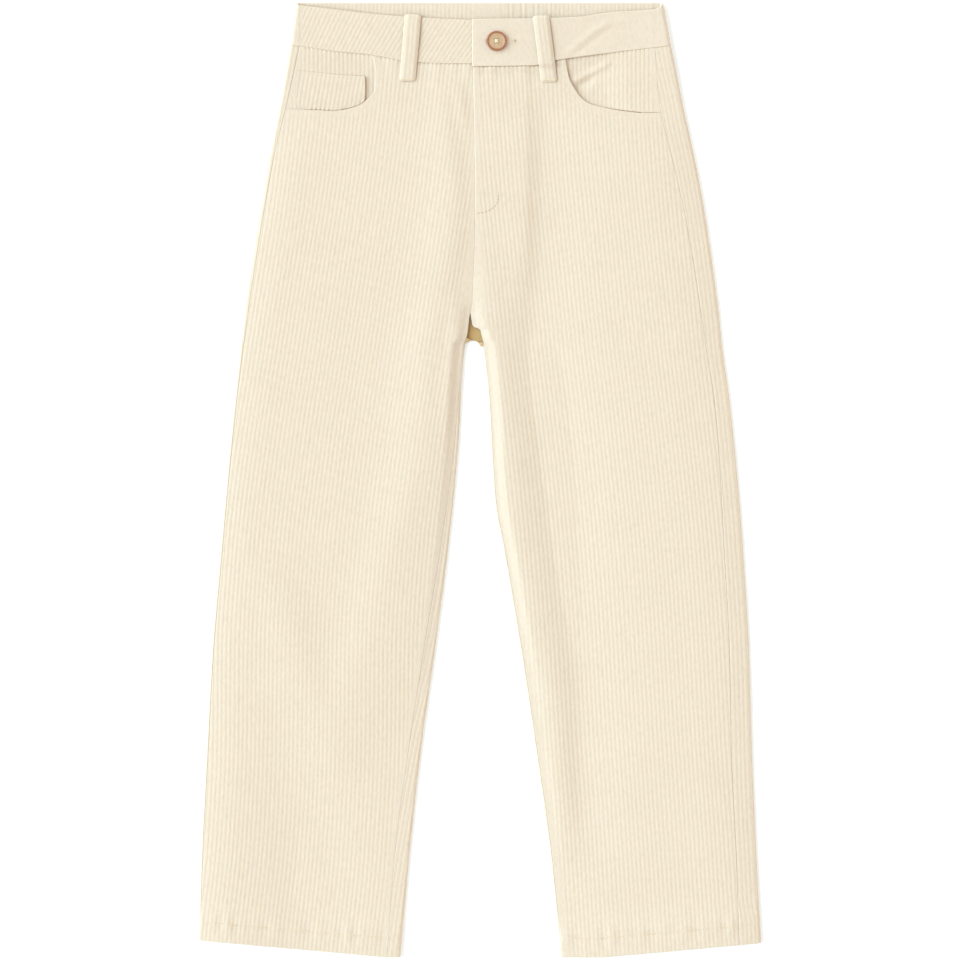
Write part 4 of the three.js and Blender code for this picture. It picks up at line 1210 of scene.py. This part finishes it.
def thread_object(name, middles, directions, lengths, material="thread"):
    """Stitches as one piece. Each has a middle, a direction and a length."""
    shape, shape_faces = capsule()
    along = directions / np.linalg.norm(directions, axis=1)[:, None]
    side = np.cross([0, 0, 1], along)
    side = side / np.linalg.norm(side, axis=1)[:, None]
    up = np.cross(along, side)
    half = np.asarray(lengths)[:, None, None] / 2
    points = (
        middles[:, None, :]
        + along[:, None, :] * shape[None, :, :1] * half
        + side[:, None, :] * shape[None, :, 1:2] * THREAD_RADIUS
        + up[:, None, :] * shape[None, :, 2:3] * THREAD_RADIUS
    )
    count = len(shape)
    faces = (shape_faces[None] + count * np.arange(len(middles))[:, None, None]).reshape(-1, 3)
    piece = cloth_object(name, points.reshape(-1, 3), faces, np.ones(points.shape[0] * count))
    piece.data.materials.append(MATERIALS[material])
    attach(piece, "root")


def stitch_line(name, points, material="thread"):
    """A row of stitches along a line of points that lie on the cloth."""
    steps = np.linalg.norm(np.diff(points, axis=0), axis=1)
    reached = np.concatenate([[0], np.cumsum(steps)])
    middles_at = np.arange(STITCH_PITCH / 2, reached[-1], STITCH_PITCH)

    def at(distance):
        return np.stack([np.interp(distance, reached, points[:, i]) for i in range(3)], axis=1)

    middles = at(middles_at)
    directions = at(middles_at + STITCH_LENGTH / 3) - at(middles_at - STITCH_LENGTH / 3)
    lengths = np.full(len(middles), STITCH_LENGTH)
    thread_object(name, middles, directions, lengths, material)


def on_front(leg, outs, levels, sink):
    """Points on a front panel, one for each place, with the surface lowered by sink."""
    outs = np.asarray(outs, float)
    levels = np.asarray(levels, float)
    sinks = np.broadcast_to(sink, outs.shape)
    each = zip(outs, levels, sinks)
    return np.array([place(PanelRows(leg, [b]), np.array([[a]]), 1, c)[0, 0] for a, b, c in each])


def fly_stitches():
    outs, levels = fly_row()
    sink = lerp(FLY_CURVE_SINK, FLY_SINK, smooth((levels - FLY_CURVE_LEVEL) / FLY_SINK_RUN))
    points = on_front(LEGS["left"], outs, levels, sink)
    # The fly's stitches take the darker thread, as painted shade.
    stitch_line("stitches_fly", points, "thread_in_painted_shade")


def hem_stitches(side):
    leg = LEGS[side]
    rows = PanelRows(leg, [HEM_SEAM_LEVEL])
    start = front_start(leg, rows)[0, 0] + 1
    end = front_end(leg, rows)[0, 0] - 1
    outs = np.arange(start, end, STITCH_STEP)
    levels = np.full(outs.size, HEM_SEAM_LEVEL)
    stitch_line(f"stitches_hem_{side}", on_front(leg, outs, levels, STITCH_SINK))


def mouth_stitches(side):
    leg = LEGS[side]
    levels = np.arange(WAIST_LEVEL - 3, leg.mouth_levels[-2], -2.0)
    outs = leg.mouth_out(levels)
    slope = np.gradient(outs, levels)
    length = np.hypot(1, slope)
    outs = outs - MOUTH_STITCH / length
    levels = levels + MOUTH_STITCH * slope / length
    outs = np.concatenate([outs, np.arange(outs[-1] + 2, leg.mouth_end + 20, STITCH_STEP)])
    flat = np.full(outs.size - levels.size, levels[-1] - 2)
    stitch_line(f"stitches_pocket_{side}", on_front(leg, outs, np.concatenate([levels, flat]), STITCH_SINK))


def coin_stitches():
    leg = LEGS["right"]
    top = coin_top(leg)
    outs = np.arange(COIN_INNER_OUT + 2, COIN_OUTER_OUT - 1, STITCH_STEP)
    levels = np.full(outs.size, top - COIN_STITCH)
    stitch_line("stitches_coin_pocket", on_front(leg, outs, levels, STITCH_SINK))


def loop_tacks(side, bottom_out):
    """The dense short stitches that hold a belt loop's lower end."""
    leg = LEGS[side]
    seam_y = float(leg.waist_y(bottom_out))
    y = seam_y - LOOP_BELOW_BAND + TACK_INSET
    outs = bottom_out + np.arange(-TACK_HALF, TACK_HALF + 0.1, TACK_PITCH)
    top = PanelRows(leg, [WAIST_LEVEL]).top(outs[None, :])[0]
    z = top + GAP + LOOP_WALL - TACK_SINK
    middles = np.stack([leg.sign * outs, np.full(outs.size, y), z], axis=1)
    directions = np.tile([0.15, 1.0, 0.0], (outs.size, 1))
    thread_object(f"stitches_belt_loop_{side}", middles, directions, np.full(outs.size, TACK_LENGTH))


def buttonhole():
    """Close stitches round the slit that the button passes through."""
    turn = np.arange(0, 2 * math.pi, 0.08)
    straight = np.arange(-HOLE_HALF, HOLE_HALF, TACK_PITCH)
    ends = np.stack([
        np.sign(np.cos(turn)) * HOLE_HALF + np.cos(turn) * HOLE_BORDER,
        np.sin(turn) * HOLE_BORDER,
    ], axis=1)
    upper = np.stack([straight, np.full(straight.size, HOLE_BORDER)], axis=1)
    lower = upper * [1, -1]
    flat = np.vstack([ends, upper, lower])
    centre = np.stack([clamp(flat[:, 0], -HOLE_HALF, HOLE_HALF), 0 * flat[:, 0]], axis=1)
    outward = flat - centre
    x = HOLE_CENTRE_X + flat[:, 0]
    z = BAND_TOP + tab_raise(x) - HOLE_SINK
    middles = np.stack([x, BUTTON_Y + flat[:, 1], z], axis=1)
    directions = np.hstack([outward, np.zeros((len(outward), 1))])
    thread_object("stitches_buttonhole", middles, directions, np.full(len(middles), HOLE_STITCH))


# Button

def button():
    """A round button with a raised rim and four holes, as rings round its middle."""
    inner = np.arange(0.15, 3.1, 0.15)
    face = np.arange(3.4, BUTTON_RADIUS - BUTTON_RIM - 0.6, 0.5)
    radii = np.concatenate([inner, face])
    dish = BUTTON_THICK - BUTTON_DISH
    from_rim = [(BUTTON_RADIUS - BUTTON_RIM + shift, dish + up) for shift, up in BUTTON_RIM_INSIDE]
    round_edge = [(BUTTON_RADIUS - inset, BUTTON_THICK - down) for inset, down in BUTTON_RIM_OUTSIDE]
    base = [(BUTTON_RADIUS, 0.9), (BUTTON_RADIUS - 0.3, 0.3), (BUTTON_RADIUS - 1, 0), (0.05, 0)]
    crest = [(BUTTON_RADIUS - BUTTON_RIM + 0.45, BUTTON_THICK - 0.02)]
    profile = np.array([(r, dish) for r in radii] + from_rim + crest + round_edge + base)
    turn = np.arange(BUTTON_SEGMENTS) * 2 * math.pi / BUTTON_SEGMENTS
    x = profile[:, :1] * np.cos(turn)
    y = profile[:, :1] * np.sin(turn)
    z = profile[:, 1:] + 0 * x
    upper = (np.arange(len(profile)) < len(radii))[:, None]
    for i in range(4):
        angle = math.pi / 4 + i * math.pi / 2
        away = np.hypot(x - HOLE_SPREAD * math.cos(angle), y - HOLE_SPREAD * math.sin(angle))
        z = z - np.where(upper, HOLE_DEPTH * (1 - smooth((away - HOLE_RADIUS + 0.25) / 0.3)), 0)
    rings = np.stack([x + BUTTON_X, y + BUTTON_Y, z + BUTTON_BASE], axis=-1).reshape(-1, 3)
    middle = np.array([[BUTTON_X, BUTTON_Y, BUTTON_BASE + dish], [BUTTON_X, BUTTON_Y, BUTTON_BASE]])
    places = np.vstack([rings, middle])
    numbers = np.arange(len(rings)).reshape(x.shape)
    closed = np.hstack([numbers, numbers[:, :1]])
    top = np.full(BUTTON_SEGMENTS, len(rings))
    low = top + 1
    faces = np.vstack([
        quads(closed),
        np.stack([top, closed[0, :-1], closed[0, 1:]], 1),
        np.stack([low, closed[-1, 1:], closed[-1, :-1]], 1),
    ])
    reach = np.concatenate([(profile[:, :1] / BUTTON_RADIUS + 0 * x).ravel(), [0, 0]])
    piece = cloth_object("resin_button", places, faces, reach)
    piece.data.materials.append(MATERIALS["button"])
    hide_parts("button")
    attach(piece, "root")


def button_thread():
    """Threads that cross between opposite holes."""
    middles = []
    directions = []
    for i in range(2):
        angle = math.pi / 4 + i * math.pi / 2
        for strand in (-1, 0, 1):
            shift = strand * THREAD_RADIUS * 1.3
            x = BUTTON_X - shift * math.sin(angle)
            y = BUTTON_Y + shift * math.cos(angle)
            middles.append((x, y, BUTTON_BASE + BUTTON_THICK - BUTTON_DISH + 0.1 + 0.25 * i))
            directions.append((math.cos(angle), math.sin(angle), 0))
    lengths = np.full(len(middles), 2 * HOLE_SPREAD + 1)
    thread_object("thread_button", np.array(middles), np.array(directions), lengths)


# Materials

def srgb(red, green, blue):
    """A colour given as 0 to 255, in Blender's linear values."""
    values = [channel / 255 for channel in (red, green, blue)]
    return (*[v / 12.92 if v <= 0.04045 else ((v + 0.055) / 1.055) ** 2.4 for v in values], 1)


def put(node, values):
    """Sets constants on a node's sockets."""
    for name, value in values.items():
        node.inputs[name].default_value = value


def new_node(tree, kind, **settings):
    node = tree.nodes.new(f"ShaderNode{kind}")
    for name, value in settings.items():
        setattr(node, name, value)
    return node


def new_material(name):
    material = bpy.data.materials.new(name)
    material.use_nodes = True
    return material, material.node_tree, material.node_tree.nodes["Principled BSDF"]


def noise(tree, scale, detail=2.0, stretch=(1, 1, 1)):
    """Noise over the object's own coordinates."""
    coordinates = new_node(tree, "TexCoord")
    mapping = new_node(tree, "Mapping")
    texture = new_node(tree, "TexNoise")
    put(mapping, {"Scale": stretch})
    put(texture, {"Scale": scale, "Detail": detail})
    tree.links.new(coordinates.outputs["Object"], mapping.inputs["Vector"])
    tree.links.new(mapping.outputs["Vector"], texture.inputs["Vector"])
    return texture.outputs["Fac"]


def ramp(tree, factor, *stops):
    node = new_node(tree, "ValToRGB")
    elements = node.color_ramp.elements
    while len(elements) < len(stops):
        elements.new(0.5)
    for element, (position, colour) in zip(elements, stops):
        element.position = position
        element.color = colour
    tree.links.new(factor, node.inputs["Fac"])
    return node.outputs["Color"]


def multiply(tree, first, second):
    node = new_node(tree, "Mix", data_type="RGBA", blend_type="MULTIPLY")
    put(node, {"Factor": 1})
    tree.links.new(first, node.inputs["A"])
    tree.links.new(second, node.inputs["B"])
    return node.outputs["Result"]


def bump(tree, height, strength, distance):
    node = new_node(tree, "Bump")
    put(node, {"Strength": strength, "Distance": distance})
    tree.links.new(height, node.inputs["Height"])
    return node.outputs["Normal"]


def hollow_shade_mask(tree, reach):
    """From 0 in a hollow narrower than reach to 1 in the open, where shade is painted into hollows."""
    node = new_node(tree, "AmbientOcclusion", samples=4)
    put(node, {"Distance": reach})
    return node.outputs["AO"]


def corduroy_material():
    material, tree, shader = new_material("cream_corduroy")
    pile = new_node(tree, "Attribute", attribute_name="pile")
    # Pile values below 0 fall in the ramp's lowest share: the painted shade of the crotch recess and of the
    # pockets.
    lifted = new_node(tree, "Math", operation="MULTIPLY_ADD")
    put(lifted, {1: 1 - PAINTED_SHADE_SPAN, 2: PAINTED_SHADE_SPAN})
    tree.links.new(pile.outputs["Fac"], lifted.inputs[0])
    # The colour darkens with the pile's depth: painted shade in the lines between wales and on the wales'
    # sides.
    heights = ((0, PAINTED_RECESS_SHADE), (PAINTED_SHADE_SPAN, VALLEY_PAINTED_SHADE), (0.66, PILE_SIDE_PAINTED_SHADE), (1, PILE_TOP))
    painted_pile_shade = ramp(tree, lifted.outputs["Value"], *heights)
    mottled = ramp(tree, noise(tree, 28, 4), (0.3, (0.988, 0.986, 0.98, 1)), (0.7, WHITE))
    flecks = noise(tree, 900, 2, (1, 0.25, 1))
    flecked = ramp(tree, flecks, (0.3, (0.93, 0.93, 0.93, 1)), (0.6, WHITE))
    # Painted shade: hollows narrower than 4 mm are coloured a warm brown for the shadow and warm bounced
    # light in them.
    painted_hollow_shade = ramp(tree, hollow_shade_mask(tree, 0.004), (0.12, HOLLOW_PAINTED_SHADE), (0.35, (0.95, 0.91, 0.85, 1)), (0.55, WHITE))
    colour = multiply(tree, multiply(tree, painted_pile_shade, mottled), multiply(tree, flecked, painted_hollow_shade))
    tree.links.new(colour, shader.inputs["Base Color"])
    tree.links.new(bump(tree, noise(tree, 1400, 3), 0.35, 0.0004), shader.inputs["Normal"])
    put(shader, {
        "Roughness": 0.95,
        "Specular IOR Level": 0.1,
        "Subsurface Weight": 0.6,
        "Subsurface Scale": 0.0012,
        "Subsurface Radius": (1, 0.9, 0.75),
        "Sheen Weight": 0.08,
        "Sheen Roughness": 0.5,
        "Sheen Tint": srgb(255, 248, 230),
    })
    return material


def thread_material(name, dark, light):
    material, tree, shader = new_material(name)
    twist = ramp(tree, noise(tree, 2500, 1), (0.3, dark), (0.7, light))
    tree.links.new(twist, shader.inputs["Base Color"])
    put(shader, {"Roughness": 0.7})
    return material


def button_material():
    material, tree, shader = new_material("greige_resin")
    reach = new_node(tree, "Attribute", attribute_name="pile")
    tones = ((0, (190, 166, 134)), (0.74, (186, 160, 128)), (0.84, (150, 98, 74)), (1, (170, 112, 88)))
    rings = ramp(tree, reach.outputs["Fac"], *[(at, srgb(*colour)) for at, colour in tones])
    cloudy = ramp(tree, noise(tree, 220, 3), (0.3, (0.86, 0.84, 0.8, 1)), (0.7, WHITE))
    tree.links.new(multiply(tree, rings, cloudy), shader.inputs["Base Color"])
    tree.links.new(bump(tree, noise(tree, 600, 2), 0.1, 0.0002), shader.inputs["Normal"])
    put(shader, {"Roughness": 0.38})
    return material


def floor_material():
    material, tree, shader = new_material("pale_floor")
    grain = ramp(tree, noise(tree, 40, 3), (0.3, (0.94, 0.97, 0.99, 1)), (0.7, (0.96, 0.98, 1, 1)))
    tree.links.new(grain, shader.inputs["Base Color"])
    put(shader, {"Roughness": 0.9, "Emission Color": GLOW_COLOUR, "Emission Strength": FLOOR_GLOW})
    return material


WHITE = (1, 1, 1, 1)
# Painted shade colour of hollows.
HOLLOW_PAINTED_SHADE = srgb(205, 160, 104)
# Painted shade colour of the crotch recess.
PAINTED_RECESS_SHADE = srgb(190, 165, 118)
# Painted shade in the lines between wales and on their sides; the top's colour is the cloth's own.
VALLEY_PAINTED_SHADE = srgb(209, 198, 179)
PILE_SIDE_PAINTED_SHADE = srgb(214, 205, 190)
PILE_TOP = srgb(216, 208, 195)
MATERIALS = {
    "corduroy": corduroy_material(),
    "thread": thread_material("cream_thread", srgb(216, 203, 176), srgb(232, 221, 198)),
    # Painted shade: a darker copy of the cream thread, for the fly's stitches that lie sunk in shade.
    "thread_in_painted_shade": thread_material("cream_thread_in_painted_shade", srgb(150, 132, 104), srgb(186, 170, 140)),
    "button": button_material(),
}


# Stage, lights and camera

def stage():
    mesh = bpy.data.meshes.new("floor")
    half = FLOOR_HALF
    corners = ((-half, -half), (half, -half), (half, half), (-half, half))
    mesh.from_pydata([(x, y, FLOOR_Z) for x, y in corners], [], [(0, 1, 2, 3)])
    floor = link("floor", mesh)
    floor.data.materials.append(floor_material())


def sun(name, energy, colour, angle, tilt, turn):
    """A distant light, tilted off the vertical and turned from +X."""
    light = bpy.data.lights.new(name, "SUN")
    light.energy = energy
    light.color = colour
    light.angle = math.radians(angle)
    link(name, light).rotation_euler = (0, math.radians(tilt), math.radians(turn))


def lights():
    sun("key", KEY_ENERGY, KEY_COLOUR, KEY_ANGLE, KEY_TILT, KEY_TURN)
    sun("side", SIDE_ENERGY, SIDE_COLOUR, KEY_ANGLE, SIDE_TILT, 0)
    world = bpy.data.worlds.new("studio")
    world.use_nodes = True
    put(world.node_tree.nodes["Background"], {"Color": (*FILL_COLOUR, 1), "Strength": FILL})
    bpy.context.scene.world = world
    bpy.context.scene.view_settings.view_transform = "Standard"


def camera():
    """The photo's view, straight down. The frame is 960 pixels of 0.85 mm wide."""
    data = bpy.data.cameras.new("camera")
    data.sensor_width = 36
    data.lens = data.sensor_width * CAMERA_HEIGHT / (PHOTO_PIXELS * PIXEL)
    eye = link("camera", data)
    eye.location = (PHOTO_CENTRE_X * MM, 0, CAMERA_HEIGHT * MM)
    bpy.context.scene.camera = eye


camera()
stage()
lights()
for name in LEGS:
    front_panel(name)
    back_panel(name)
    pocket_facing(name)
    hem_stitches(name)
    mouth_stitches(name)
coin_pocket()
coin_stitches()
fly_shield()
fly_stitches()
front_band_right()
front_band_left()
back_band()
for name, (top_out, bottom_out) in FRONT_LOOPS.items():
    front_loop(name, top_out, bottom_out)
for name, (_, bottom_out) in FRONT_LOOPS.items():
    loop_tacks(name, bottom_out)
for name, x in BACK_LOOPS.items():
    back_loop(name, x)
button()
button_thread()
buttonhole()
